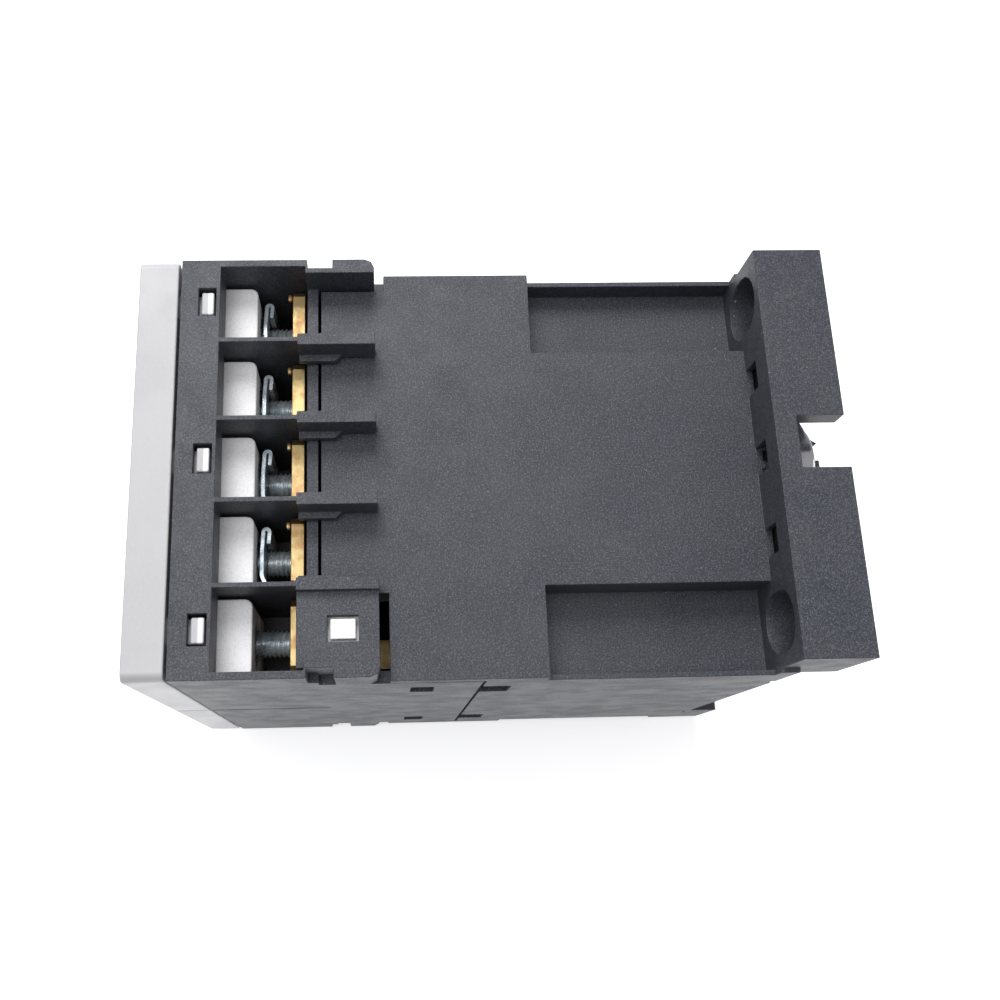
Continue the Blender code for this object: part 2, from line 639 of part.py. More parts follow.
def finger(number, x):
    """A finger behind one rib, with a low ledge on both sides whose rear corners are cut off."""
    half = FINGER_WIDTH / 2
    bar = block(f"finger_{number}", (x - half, x + half), (CHAMBER_REAR_Y - FINGER_ROOT, FINGER_REAR_Y),
                (BASE_HALF + SEAM, HALF_HEIGHT))
    root = block(f"finger_root_{number}", (x - half, x + half),
                 (CHAMBER_REAR_Y + RIB / 2, CHAMBER_BACK_Y - RIB / 2), (SCREW_Z, HALF_HEIGHT - SEAM))
    front = CHAMBER_REAR_Y - FINGER_ROOT
    rear = front + LEDGE_LENGTH
    side = half + LEDGE_WIDTH
    outline = [(x - side, front), (x + side, front), (x + side, rear - LEDGE_WIDTH),
               (x + half, rear), (x - half, rear), (x - side, rear - LEDGE_WIDTH)]
    ledge = plate(f"ledge_{number}", outline, (BASE_HALF + SEAM, BASE_HALF + SEAM + LEDGE_HEIGHT), "Z")
    return root, bar, ledge


def end_finger(name, side):
    """The finger at one end of the row, joined to the side wall, with a notch in its outer face."""
    outline = [
        (side * END_FINGER_X, CHAMBER_REAR_Y),
        (side * HALF_WIDTH, CHAMBER_REAR_Y),
        (side * HALF_WIDTH, CHAMBER_BACK_Y - END_NOTCH_DEPTH),
        (side * (HALF_WIDTH - END_NOTCH_DEPTH), CHAMBER_BACK_Y - END_NOTCH_DEPTH),
        (side * (HALF_WIDTH - END_NOTCH_DEPTH), CHAMBER_BACK_Y - END_NOTCH_DEPTH + END_NOTCH_LENGTH),
        (side * HALF_WIDTH, CHAMBER_BACK_Y - END_NOTCH_DEPTH + END_NOTCH_LENGTH),
        (side * HALF_WIDTH, FINGER_REAR_Y - END_NOTCH_DEPTH),
        (side * (HALF_WIDTH - END_FINGER_ROUND), FINGER_REAR_Y - END_FINGER_ROUND),
        (side * (HALF_WIDTH - END_NOTCH_DEPTH), FINGER_REAR_Y),
        (side * END_FINGER_X, FINGER_REAR_Y),
    ]
    return plate(f"end_finger_{name}", outline, (BASE_INNER_HALF - 2 * OVERSHOOT, HALF_HEIGHT), "Z")


def add_coil_plate(housing):
    """Plate over the coil terminal's holder, with a window for the holder's lug."""
    top = HALF_HEIGHT - COIL_PLATE_DROP
    join(housing, block("coil_plate", (RIB_X[-1], END_FINGER_X + RIB),
                        (CHAMBER_REAR_Y - FINGER_ROOT, FINGER_REAR_Y), (top - COIL_PLATE, top)))
    wide, long = COIL_WINDOW
    middle = coil_window_middle()
    cut(housing, block("coil_window", (COIL_X - wide / 2, COIL_X + wide / 2),
                       (middle - long / 2, middle + long / 2),
                       (top - COIL_PLATE - OVERSHOOT, top + OVERSHOOT)))


def coil_window_middle():
    return (CHAMBER_BACK_Y + FINGER_REAR_Y) / 2 - RIB


def make_base_housing(plastic):
    """Rear moulding, whose two ends differ only in their rail flanges."""
    upper, lower = base_half("upper_base"), base_half("lower_base")
    add_upper_flange(upper)
    add_lower_hook(lower)
    return finish(weld_halves("base_housing", upper, lower), plastic)


def base_half(name):
    """Half of the base: skirt, screwdriver recesses, snap arms and flange."""
    below = -OVERSHOOT
    base = block(name, (-HALF_WIDTH, HALF_WIDTH), (SKIRT_FRONT_Y, 0.0), (0.0, BASE_HALF))
    join(base, block("flange", (-FLANGE_X, FLANGE_X), (FLANGE_FRONT_Y, RAIL_DEPTH),
                     (FLANGE_INNER_Z, FLANGE_HALF)))
    rear_front = RECESS_FRONT_Y - BASE_SIDE_WALL
    cavity_x = HALF_WIDTH - BASE_SIDE_WALL
    cut(base,
        block("skirt_mouth", (-HALF_WIDTH - OVERSHOOT, HALF_WIDTH + OVERSHOOT),
              (SKIRT_FRONT_Y - OVERSHOOT, SIDE_SEAM_Y + SEAM / 2), (below, BASE_INNER_HALF)),
        block("front_cavity", (-cavity_x, cavity_x), (SIDE_SEAM_Y - OVERSHOOT, rear_front),
              (below, BASE_INNER_HALF)),
        block("centre_cavity", (-RECESS_X + BASE_SIDE_WALL, RECESS_X - BASE_SIDE_WALL),
              (rear_front - OVERSHOOT, SEAT_INNER_Y), (below, BASE_INNER_HALF)),
        block("wide_cavity", (-cavity_x, cavity_x), (rear_front - OVERSHOOT, SEAT_INNER_Y),
              (below, RECESS_FLOOR_Z - BASE_END_WALL)),
        blocks("driver_recesses", [
            ((side * RECESS_X, side * (HALF_WIDTH - RECESS_RIM)), (RECESS_FRONT_Y, FLANGE_FRONT_Y),
             (RECESS_FLOOR_Z, BASE_HALF + OVERSHOOT)) for side in (1, -1)]),
        blocks("recess_rims", [
            ((side * (HALF_WIDTH - 2 * RECESS_RIM), side * (HALF_WIDTH + OVERSHOOT)),
             (RECESS_FRONT_Y, FLANGE_FRONT_Y),
             (BASE_HALF - RECESS_RIM_DROP, BASE_HALF + OVERSHOOT)) for side in (1, -1)]),
        block("hook_relief", (-HALF_WIDTH - OVERSHOOT, HALF_WIDTH + OVERSHOOT), (-HOOK_RELIEF, OVERSHOOT),
              (RAIL_HEIGHT / 2 - HOOK_OVERLAP - FIT, RAIL_HEIGHT / 2 + RAIL_PLAY)))
    join(base, block("comb", (-END_FINGER_X + FIT, RIB_X[-1] + FINGER_WIDTH / 2 - FIT),
                     (CHAMBER_BACK_Y + SEAM, SKIRT_FRONT_Y + OVERSHOOT),
                     (BASE_INNER_HALF, BASE_HALF)))
    wide, tall = SNAP_WINDOW_B
    cut(base, blocks("snap_windows_b", [
        ((side * (cavity_x - OVERSHOOT), side * (HALF_WIDTH + OVERSHOOT)),
         (SIDE_SEAM_Y - OVERSHOOT, SIDE_SEAM_Y + wide),
         (SNAP_B_CENTRE - tall / 2, SNAP_B_CENTRE + tall / 2)) for side in (1, -1)]))
    for name, side in (("left", -1), ("right", 1)):
        join(base, snap_arm(name, side))
    add_fixing_slots(base)
    return base


def snap_arm(name, side):
    """A springy arm inside the terminal housing's wall, whose nub sits in the snap window."""
    wide, tall = SNAP_WINDOW_A
    window_rear = SIDE_SEAM_Y - SNAP_A_FROM_SEAM
    outer = INNER_X - FIT
    inner = outer - SNAP_ARM
    nub = outer + SNAP_NUB
    tip = window_rear - wide - SNAP_ARM_PAST_WINDOW
    root = SIDE_SEAM_Y + SNAP_WINDOW_B[0]
    wall = HALF_WIDTH - BASE_SIDE_WALL / 2
    outline = [
        (side * inner, tip), (side * outer, tip), (side * outer, window_rear - wide + FIT),
        (side * nub, window_rear - 2 * FIT), (side * nub, window_rear - FIT),
        (side * outer, window_rear - FIT), (side * outer, root), (side * wall, root),
        (side * wall, RECESS_FRONT_Y - FIT), (side * inner, RECESS_FRONT_Y - FIT),
    ]
    half = tall / 2 - FIT
    return plate(f"snap_arm_{name}", outline, (SNAP_CENTRE - half, SNAP_CENTRE + half), "Z")


def add_fixing_slots(base):
    """Slots for the panel screws, with counterbores from the front, at both ends of the flange."""
    z = FLANGE_HALF - FIXING_EDGE
    for name, side in (("left", -1), ("right", 1)):
        x = side * FIXING_SPACING_X / 2
        slot = plate(f"fixing_slot_{name}", moved(oval(*FIXING_SLOT), x, z),
                     (FLANGE_FRONT_Y - OVERSHOOT, RAIL_DEPTH + OVERSHOOT), "Y")
        counterbore = plate(f"fixing_counterbore_{name}", moved(oval(*FIXING_COUNTERBORE), x, z),
                            (FLANGE_FRONT_Y - OVERSHOOT, FLANGE_FRONT_Y + FIXING_COUNTERBORE_DEPTH), "Y")
        cut(base, counterbore, slot)


def add_lower_hook(base):
    """Fixed hook that grips the rail's edge along the whole width."""
    rail_edge = RAIL_HEIGHT / 2 + RAIL_PLAY
    nose_low = RAIL_HEIGHT / 2 - HOOK_OVERLAP
    nose_front = RAIL_SHEET + RAIL_PLAY
    sunk = -SEAT_THICKNESS / 2
    outline = [
        (sunk, FLANGE_INNER_Z + OVERSHOOT), (sunk, rail_edge), (nose_front, rail_edge),
        (nose_front, nose_low), (nose_front + HOOK_THICKNESS, nose_low),
        (RAIL_DEPTH - FIT, rail_edge + HOOK_THICKNESS), (RAIL_DEPTH - FIT, FLANGE_INNER_Z + OVERSHOOT),
    ]
    half = FLANGE_X - HOOK_INSET
    join(base, plate("lower_hook", outline, (-half, half), "X"))


def add_upper_flange(base):
    """Spring pocket, release notch, foot windows, teeth and two hooks in the upper flange."""
    half = POCKET_WIDTH / 2
    ceiling = FLANGE_HALF - FLANGE_LIP
    pocket_front = FLANGE_FRONT_Y + POCKET_FRONT_WALL
    left, right, deep = NOTCH
    pocket = block("spring_pocket", (-half, half), (pocket_front, RAIL_DEPTH - POCKET_REAR_WALL),
                   (FLANGE_INNER_Z - OVERSHOOT, ceiling))
    mouth = block("pocket_mouth", (-half, half), (0.0, RAIL_DEPTH + OVERSHOOT),
                  (RAIL_HEIGHT / 2, FLANGE_INNER_Z + OVERSHOOT))
    notch = block("release_notch", (left, right), (RAIL_DEPTH - deep, RAIL_DEPTH + OVERSHOOT),
                  (ceiling - OVERSHOOT, FLANGE_HALF + OVERSHOOT))
    rear_opening = block("notch_rear", (left - NOTCH_RELIEF, right),
                         (RAIL_DEPTH - 2 * POCKET_REAR_WALL, RAIL_DEPTH + OVERSHOOT),
                         (FLANGE_INNER_Z - OVERSHOOT, ceiling))
    wide, tall = FOOT_WINDOW
    feet = blocks("foot_windows", [
        ((x - wide / 2, x + wide / 2), (FLANGE_FRONT_Y - OVERSHOOT, pocket_front + OVERSHOOT),
         (BASE_HALF, BASE_HALF + tall)) for x in (-FOOT_WINDOW_PITCH, 0.0, FOOT_WINDOW_PITCH)])
    cut(base, pocket, mouth, notch, rear_opening, feet)
    tooth_top = FLANGE_HALF - TOOTH_DROP
    for number, (low_x, high_x, pointed) in enumerate(TEETH):
        tip = RAIL_DEPTH - TOOTH_SET_BACK
        shoulder = tip - TOOTH_POINT if pointed else tip
        middle = (low_x + high_x) / 2
        outline = [(low_x, pocket_front - FIT), (high_x, pocket_front - FIT), (high_x, shoulder),
                   (middle, tip), (low_x, shoulder)]
        join(base, plate(f"tooth_{number}", outline, (tooth_top - TOOTH_HEIGHT, tooth_top), "Z"))
    nose_front = RAIL_SHEET + RAIL_PLAY
    nose_low = RAIL_HEIGHT / 2 - HOOK_OVERLAP
    for name, side in (("left", -1), ("right", 1)):
        outline = [
            (nose_front, FLANGE_INNER_Z + OVERSHOOT), (nose_front, nose_low),
            (nose_front + HOOK_THICKNESS, nose_low),
            (nose_front + 2 * HOOK_THICKNESS, nose_low + 2 * HOOK_THICKNESS),
            (nose_front + 2 * HOOK_THICKNESS, FLANGE_INNER_Z + OVERSHOOT),
        ]
        outer = side * (half + FIT + HOOK_WIDTH)
        join(base, plate(f"upper_hook_{name}", outline, sorted((side * (half + FIT), outer)), "X"))


def make_rail_spring(steel):
    """Bowed steel leaf: an arch whose crown lies in the notch and whose feet press on the rail."""
    crown = FLANGE_HALF - FLANGE_LIP - LEAF_CROWN_DROP
    half = LEAF_SPAN / 2
    top = crown - LEAF_THICKNESS
    rise = top - RAIL_HEIGHT / 2 - LEAF_OFF_RAIL - LEAF_THICKNESS / 2

    def arch(fraction):
        """Centre line: a raised cosine from the crown to feet that turn level."""
        return top - rise * (1 - math.cos(math.pi * abs(fraction))) / 2

    steps = [2 * i / LEAF_STEPS - 1 for i in range(LEAF_STEPS + 1)]
    upper, lower = [], []
    for s in steps:
        ahead, behind = min(s + LEAF_SLOPE_STEP, 1.0), max(s - LEAF_SLOPE_STEP, -1.0)
        along = Vector(((ahead - behind) * half, arch(ahead) - arch(behind))).normalized()
        across = Vector((-along.y, along.x)) * LEAF_THICKNESS / 2
        middle = Vector((s * half, arch(s)))
        upper.append(tuple(middle + across))
        lower.append(tuple(middle - across))
    rear = RAIL_DEPTH - POCKET_REAR_WALL - FIT
    leaf = plate("rail_spring", lower + upper[::-1], (rear - LEAF_WIDTH, rear), "Y")
    return finish(leaf, steel)


# ---------------------------------------------------------------- terminals


def bar_outline(x, low_z):
    """Terminal bar seen along Y: a wide head with cut corners and a narrow strip down to low_z."""
    half = CHAMBER_HALF - FIT
    strip = STRIP_WIDTH / 2
    shoulder = CHAMBER_LOW_Z + FIT
    return [
        (x - strip, low_z), (x + strip, low_z), (x + strip, shoulder), (x + half, shoulder + BAR_CHAMFER),
        (x + half, BAR_TOP_Z - BAR_CHAMFER), (x + half - BAR_CHAMFER, BAR_TOP_Z),
        (x - half + BAR_CHAMFER, BAR_TOP_Z), (x - half, BAR_TOP_Z - BAR_CHAMFER),
        (x - half, shoulder + BAR_CHAMFER), (x - strip, shoulder),
    ]


def screw_hole(x):
    radius = SCREW_DIAMETER / 2 + THREAD_CLEARANCE
    angles = [math.tau * i / ROUND_SIDES for i in range(ROUND_SIDES)]
    return [(x + radius * math.cos(a), SCREW_Z + radius * math.sin(a)) for a in angles]


def at_end(item, end):
    """A finished piece made for the upper end, mirrored if it belongs to the lower end."""
    made = solid_mesh(item)
    if end < 0:
        bm = bmesh.new()
        bm.from_mesh(made.data)
        bmesh.ops.transform(bm, matrix=Matrix.Diagonal((1, 1, -1, 1)) @ made.matrix_world, verts=bm.verts)
        bmesh.ops.reverse_faces(bm, faces=bm.faces)
        bm.to_mesh(made.data)
        bm.free()
        made.matrix_world = Matrix.Identity(4)
    return made


def make_fixed_contacts(brass):
    """Four contact bars at each end, with a contact tip on the strip that reaches the bridges."""
    for end, label in ((1, "upper"), (-1, "lower")):
        for number, x in enumerate(POLE_X, start=1):
            bar = plate(f"fixed_contact_{label}_{number}", bar_outline(x, STRIP_END),
                        (BAR_FRONT_Y, BAR_REAR_Y), "Y", holes=[screw_hole(x)])
            tip = rods(f"fixed_tip_{label}_{number}", TIP_DIAMETER / 2,
                       (BAR_FRONT_Y - FIXED_TIP_HEIGHT, BAR_FRONT_Y + FIT), [(x, TIP_OFFSET)])
            join(bar, tip)
            finish(at_end(bar, end), brass)


def make_coil_terminals(brass):
    """Coil bars: the same head, with an arm that runs back to the bobbin's front flange."""
    arm_low = CAVITY_HALF - 3 * BAR_THICKNESS / 2
    for end, label in ((1, "upper"), (-1, "lower")):
        bar = plate(f"coil_terminal_{label}", bar_outline(COIL_X, arm_low), (BAR_FRONT_Y, BAR_REAR_Y),
                    "Y", holes=[screw_hole(COIL_X)])
        half = STRIP_WIDTH / 2 - FIT
        arm = block(f"coil_arm_{label}", (COIL_X - half, COIL_X + half),
                    (BAR_REAR_Y - BAR_THICKNESS / 2, BOBBIN_FRONT_Y - FIT),
                    (arm_low + FIT, arm_low + FIT + BAR_THICKNESS / 2))
        join(bar, arm)
        finish(at_end(bar, end), brass)


def make_coil_holders(plastic):
    """Light-grey inserts behind the coil bars, with a lug that shows in the coil plate's window."""
    plate_low = HALF_HEIGHT - COIL_PLATE_DROP - COIL_PLATE
    wide, long = COIL_WINDOW
    middle = coil_window_middle()
    for end, label in ((1, "upper"), (-1, "lower")):
        left, right = RIB_X[-1] + FINGER_WIDTH / 2 + LEDGE_WIDTH + FIT, END_FINGER_X - FIT
        holder = block(f"coil_holder_{label}", (left, right), (CHAMBER_BACK_Y + FIT, FINGER_REAR_Y - FIT),
                       (end * CHAMBER_LOW_Z, end * (plate_low - FIT)))
        lug = block(f"holder_lug_{label}", (COIL_X - wide / 2 + FIT, COIL_X + wide / 2 - FIT),
                    (middle - long / 2 + FIT, middle + long / 2 - FIT),
                    (end * (plate_low - 2 * FIT), end * (plate_low + COIL_PLATE - FIT)))
        bore = rods(f"holder_bore_{label}", SCREW_DIAMETER / 2 + FIT,
                    (CHAMBER_BACK_Y, CHAMBER_BACK_Y + COIL_CLAMP_TRAVEL + FIT), [(COIL_X, end * SCREW_Z)])
        join(holder, lug)
        cut(holder, bore)
        finish(holder, plastic)


def screw_mesh(name, underside_y):
    """Pan-head screw with a cross recess, made about its own axis, as a mesh that copies can share.

    The head's underside is at local height 0 and the shank runs down from it.
    """
    head, shank = HEAD_DIAMETER / 2, SCREW_DIAMETER / 2
    length = BAR_REAR_Y + SCREW_PAST_BAR - underside_y
    profile = [
        (0.0, HEAD_HEIGHT), (head - HEAD_BEVEL[0], HEAD_HEIGHT), (head, HEAD_HEIGHT - HEAD_BEVEL[1]),
        (head, 0.0), (shank, 0.0), (shank, SCREW_POINT - length), (shank - SCREW_POINT, -length),
        (0.0, -length),
    ]
    screw = turned(name, profile, 16)
    across = RECESS_LENGTH / 2
    narrow = RECESS_WIDTH / 2
    depth = (HEAD_HEIGHT - RECESS_DEPTH, HEAD_HEIGHT + OVERSHOOT)
    cut(screw, block(f"{name}_recess_a", (-across, across), (-narrow, narrow), depth),
        block(f"{name}_recess_b", (-narrow, narrow), (-across, across), depth))
    mesh = solid_mesh(screw).data
    mesh.shade_smooth()
    mesh.set_sharp_from_angle(angle=math.radians(35))
    return mesh


def washer_outline():
    """Clamp washer seen along Z: a flat middle and two wings bent towards the bar, as (x, y)."""
    half, flat = WASHER_SIZE[0] / 2, WASHER_FLAT / 2
    front = [(-half, WASHER_BEND), (-flat, 0.0), (flat, 0.0), (half, WASHER_BEND)]
    return front + [(x, y + WASHER_SIZE[2]) for x, y in front[::-1]]


def make_screws_and_washers(zinc):
    """A screw and its clamp washer for each terminal, with the terminals open."""
    contact_head = WASHER_FRONT_Y - FIT
    coil_washer_rear = SLEEVE_REAR_Y - FIT
    coil_head = coil_washer_rear - COIL_WASHER_THICKNESS - FIT
    contact_screw = screw_mesh("contact_screw", contact_head)
    coil_screw = screw_mesh("coil_screw", coil_head)
    hole = SCREW_DIAMETER / 2 + THREAD_CLEARANCE
    for end, label in ((1, "upper"), (-1, "lower")):
        for number, x in enumerate(COLUMN_X, start=1):
            is_coil = number == COLUMNS
            kind = f"coil_{label}" if is_coil else f"{label}_{number}"
            place_screw(f"screw_{kind}", coil_screw if is_coil else contact_screw, x,
                        coil_head if is_coil else contact_head, end * SCREW_Z, zinc)
            if is_coil:
                front, thick = coil_washer_rear - COIL_WASHER_THICKNESS, COIL_WASHER_THICKNESS
                washer = rods(f"washer_{kind}", HEAD_DIAMETER / 2, (front, coil_washer_rear),
                              [(x, end * SCREW_Z)], 16)
            else:
                front, thick = WASHER_FRONT_Y, WASHER_SIZE[2]
                washer = plate(f"washer_{kind}", washer_outline(),
                               (-WASHER_SIZE[1] / 2, WASHER_SIZE[1] / 2), "Z")
                washer.location = (x, front, end * SCREW_Z)
            bore = rods(f"washer_hole_{kind}", hole, (front - OVERSHOOT, front + thick + OVERSHOOT),
                        [(x, end * SCREW_Z)], 16)
            cut(washer, bore)
            finish(washer, zinc)


def place_screw(name, mesh, x, underside_y, z, zinc):
    """One screw with its origin on its axis, under its head, pointing towards +Y."""
    screw = tool_object(name, mesh.copy())
    screw.rotation_euler = (math.radians(90), 0.0, 0.0)
    screw.location = (x, underside_y, z)
    finish(screw, zinc)


# ---------------------------------------------------------------- contacts and carrier


def tip_front_y():
    """Front face of the fixed contact tips."""
    return BAR_FRONT_Y - FIXED_TIP_HEIGHT


def bridge_rear_y():
    """Rear face of a bridge's strip at rest, ahead of its tips."""
    return tip_front_y() - CONTACT_GAP - BRIDGE_TIP_HEIGHT


def window_limits():
    """Front and rear of the carrier's windows."""
    rear = bridge_rear_y() + FIT
    return rear - FIT - BRIDGE_SIZE[2] - CONTACT_SPRING_ROOM, rear


def make_bridges(brass, steel):
    """Moving contact bridges and the springs ahead of them."""
    wide, tall, thick = BRIDGE_SIZE
    rear = bridge_rear_y()
    window_front = window_limits()[0]
    for number, x in enumerate(POLE_X, start=1):
        bridge = block(f"contact_bridge_{number}", (x - wide / 2, x + wide / 2), (rear - thick, rear),
                       (-tall / 2, tall / 2))
        tips = rods(f"bridge_tips_{number}", TIP_DIAMETER / 2, (rear - FIT, rear + BRIDGE_TIP_HEIGHT),
                    [(x, TIP_OFFSET), (x, -TIP_OFFSET)])
        join(bridge, tips)
        finish(bridge, brass)
        spring = coil_spring(f"contact_spring_{number}", (x, window_front + FIT, 0.0),
                             rear - thick - window_front - 2 * FIT, CONTACT_SPRING)
        round_off(spring)
        finish(spring, steel)


def make_carrier(plastic):
    """Sliding carrier: indicator tongue, bar with bridge windows, web, armature ears and spring wings."""
    half = CARRIER_THICKNESS / 2
    window_front, window_rear = window_limits()
    bar = block("contact_carrier", (POLE_X[0] - CARRIER_END, POLE_X[-1] + CARRIER_END),
                (window_front - CARRIER_FRONT_WALL, window_rear + CARRIER_REAR_WALL), (-half, half))
    ear_inner = CORE_STACK / 2 + FIT
    ear_outer = ear_inner + EAR_WIDTH
    ear_front = ARMATURE_FRONT_Y - FIT - EAR_WIDTH
    ear_rear = ARMATURE_REAR_Y - FIT
    wide, tall = TONGUE_SIZE
    join(bar,
         block("tongue", (-wide / 2, wide / 2), (FRONT_Y + TONGUE_SINK, window_front - FIT),
               (-tall / 2, tall / 2)),
         block("web", (-CARRIER_WEB / 2, CARRIER_WEB / 2), (window_rear + FIT, ear_front + OVERSHOOT),
               (-half, half)),
         block("yoke_head", (-ear_outer, ear_outer), (ear_front, ear_rear),
               (-EAR_HEIGHT / 2, EAR_HEIGHT / 2)),
         block("wings", (-ear_outer - WING_LENGTH, ear_outer + WING_LENGTH),
               (ear_front + FIT, ear_front + FIT + WING_THICKNESS), (-half, half)))
    cut(bar,
        blocks("bridge_windows", [
            ((x - BRIDGE_SIZE[0] / 2 - FIT, x + BRIDGE_SIZE[0] / 2 + FIT), (window_front, window_rear),
             (-half - OVERSHOOT, half + OVERSHOOT)) for x in POLE_X]),
        block("armature_slot", (-ear_inner, ear_inner), (ARMATURE_FRONT_Y - FIT, ear_rear + OVERSHOOT),
              (-EAR_HEIGHT, EAR_HEIGHT)),
        cross_rod("ear_bore", PIN_DIAMETER / 2 + PIN_CLEARANCE, (-HALF_WIDTH, HALF_WIDTH),
                  ARMATURE_PIN_Y, 0.0))
    return finish(bar, plastic)


# ---------------------------------------------------------------- magnet


def make_magnet(iron, steel, rubber, copper):
    """E-shaped core on its pad with shading rings in its outer poles, and the armature with its pin."""
    half, leg = CORE_HEIGHT / 2, CENTRE_LEG / 2
    yoke_front = CORE_REAR_Y - YOKE
    outline = [
        (CORE_REAR_Y, -half), (CORE_REAR_Y, half), (POLE_FACE_Y, half), (POLE_FACE_Y, half - OUTER_LEG),
        (yoke_front, half - OUTER_LEG), (yoke_front, leg), (POLE_FACE_Y, leg), (POLE_FACE_Y, -leg),
        (yoke_front, -leg), (yoke_front, OUTER_LEG - half), (POLE_FACE_Y, OUTER_LEG - half),
        (POLE_FACE_Y, -half),
    ]
    core = plate("magnet_core", outline, (-CORE_STACK / 2, CORE_STACK / 2), "X")
    bar_low = half - RING_FROM_EDGE - RING_BAR
    cut(core, blocks("ring_grooves", [
        ((-CORE_STACK, CORE_STACK), (POLE_FACE_Y - OVERSHOOT, POLE_FACE_Y + RING_GROOVE_DEPTH),
         (end * (bar_low - FIT), end * (bar_low + RING_BAR + FIT))) for end in (1, -1)]))
    finish(core, iron)
    for end, label in ((1, "upper"), (-1, "lower")):
        inner = CORE_STACK / 2 + FIT
        ys = (POLE_FACE_Y + FIT, POLE_FACE_Y + RING_GROOVE_DEPTH - FIT)
        ring = block(f"shading_ring_{label}", (-inner - RING_BAR, inner + RING_BAR), ys,
                     (end * bar_low, end * (half + FIT + RING_BAR)))
        cut(ring, block(f"ring_opening_{label}", (-inner, inner), (ys[0] - OVERSHOOT, ys[1] + OVERSHOOT),
                        (end * (bar_low + RING_BAR), end * (half + FIT))))
        finish(ring, copper)
    pad = plate("core_pad", rounded_rectangle(CORE_PAD_WIDTH / 2, half - FIT, CORE_PAD),
                (CORE_REAR_Y + FIT, SEAT_INNER_Y - FIT), "Y")
    finish(pad, rubber)
    armature = block("armature", (-CORE_STACK / 2, CORE_STACK / 2), (ARMATURE_FRONT_Y, ARMATURE_REAR_Y),
                     (-half, half))
    cut(armature, cross_rod("armature_bore", PIN_DIAMETER / 2 + PIN_CLEARANCE, (-CORE_STACK, CORE_STACK),
                            ARMATURE_PIN_Y, 0.0))
    finish(armature, iron)
    reach = CORE_STACK / 2 + EAR_WIDTH
    pin = cross_rod("armature_pin", PIN_DIAMETER / 2, (-reach, reach), ARMATURE_PIN_Y, 0.0)
    round_off(pin)
    finish(pin, steel)


def make_coil(plastic, copper, steel):
    """Bobbin on the centre leg, its winding, and the two return springs ahead of its front flange."""
    tube_x, tube_z = CORE_STACK / 2 + FIT + BOBBIN_WALL, CENTRE_LEG / 2 + FIT + BOBBIN_WALL
    rim = CORE_HEIGHT / 2 - OUTER_LEG - FIT
    front_x = INNER_X - BOBBIN_SIDE_GAP
    bobbin = block("coil_bobbin", (-tube_x, tube_x), (BOBBIN_FRONT_Y, BOBBIN_REAR_Y), (-tube_z, tube_z))
    join(bobbin,
         block("front_flange", (-front_x, front_x),
               (BOBBIN_FRONT_Y, BOBBIN_FRONT_Y + BOBBIN_FLANGE), (-rim, rim)),
         block("rear_flange", (-BOBBIN_REAR_WIDTH / 2, BOBBIN_REAR_WIDTH / 2),
               (BOBBIN_REAR_Y - BOBBIN_FLANGE, BOBBIN_REAR_Y), (-rim, rim)))
    cut(bobbin, block("bobbin_opening", (BOBBIN_WALL - tube_x, tube_x - BOBBIN_WALL),
                      (BOBBIN_FRONT_Y - OVERSHOOT, BOBBIN_REAR_Y + OVERSHOOT),
                      (BOBBIN_WALL - tube_z, tube_z - BOBBIN_WALL)))
    finish(bobbin, plastic)
    hole = rounded_rectangle(tube_x + FIT, tube_z + FIT, FIT)
    winding = plate("coil_winding", rounded_rectangle(WINDING_WIDTH / 2, rim - WINDING_INSET, WINDING_CORNER),
                    (BOBBIN_FRONT_Y + BOBBIN_FLANGE + FIT, BOBBIN_REAR_Y - BOBBIN_FLANGE - FIT), "Y",
                    holes=[hole])
    finish(winding, copper)
    start = ARMATURE_FRONT_Y - EAR_WIDTH + WING_THICKNESS + FIT
    for label, side in (("left", -1), ("right", 1)):
        spring = coil_spring(f"return_spring_{label}", (side * RETURN_SPRING_OFFSET, start, 0.0),
                             BOBBIN_FRONT_Y - FIT - start, RETURN_SPRING)
        round_off(spring)
        finish(spring, steel)


def make_marker(plastic):
    """Blank marker plate in its recess in the cover."""
    wide, tall, deep = MARKER_SIZE
    return finish(block("marker_plate", (-wide / 2, wide / 2), (FRONT_Y, FRONT_Y + deep),
                        (-MARKER_DROP - tall / 2, -MARKER_DROP + tall / 2)), plastic)


def main():
    clear_scene()
    new_collection(PARTS)
    new_collection(TOOLS)
    black = material("black_plastic", (0.055, 0.056, 0.062), 0.55)
    grey = material("light_grey_plastic", (0.68, 0.68, 0.70), 0.45)
    carrier_plastic = material("carrier_plastic", (0.10, 0.11, 0.13), 0.5)
    bobbin_plastic = material("bobbin_plastic", (0.75, 0.72, 0.62), 0.5)
    white = material("marker_plastic", (0.85, 0.85, 0.85), 0.4)
    brass = material("brass", (0.83, 0.66, 0.27), 0.3, 1.0)
    zinc = material("zinc_steel", (0.72, 0.76, 0.80), 0.3, 1.0)
    steel = material("spring_steel", (0.75, 0.75, 0.76), 0.25, 1.0)
    iron = material("core_iron", (0.35, 0.36, 0.38), 0.4, 1.0)
    copper = material("copper", (0.72, 0.38, 0.20), 0.35, 1.0)
    rubber = material("pad_rubber", (0.03, 0.03, 0.03), 0.8)
    make_front_cover(grey)
    make_terminal_housing(black)
    make_base_housing(black)
    make_rail_spring(steel)
    make_fixed_contacts(brass)
    make_coil_terminals(brass)
    make_coil_holders(grey)
    make_screws_and_washers(zinc)
    make_bridges(brass, steel)
    make_carrier(carrier_plastic)
    make_magnet(iron, steel, rubber, copper)
    make_coil(bobbin_plastic, copper, steel)
    make_marker(white)


main()
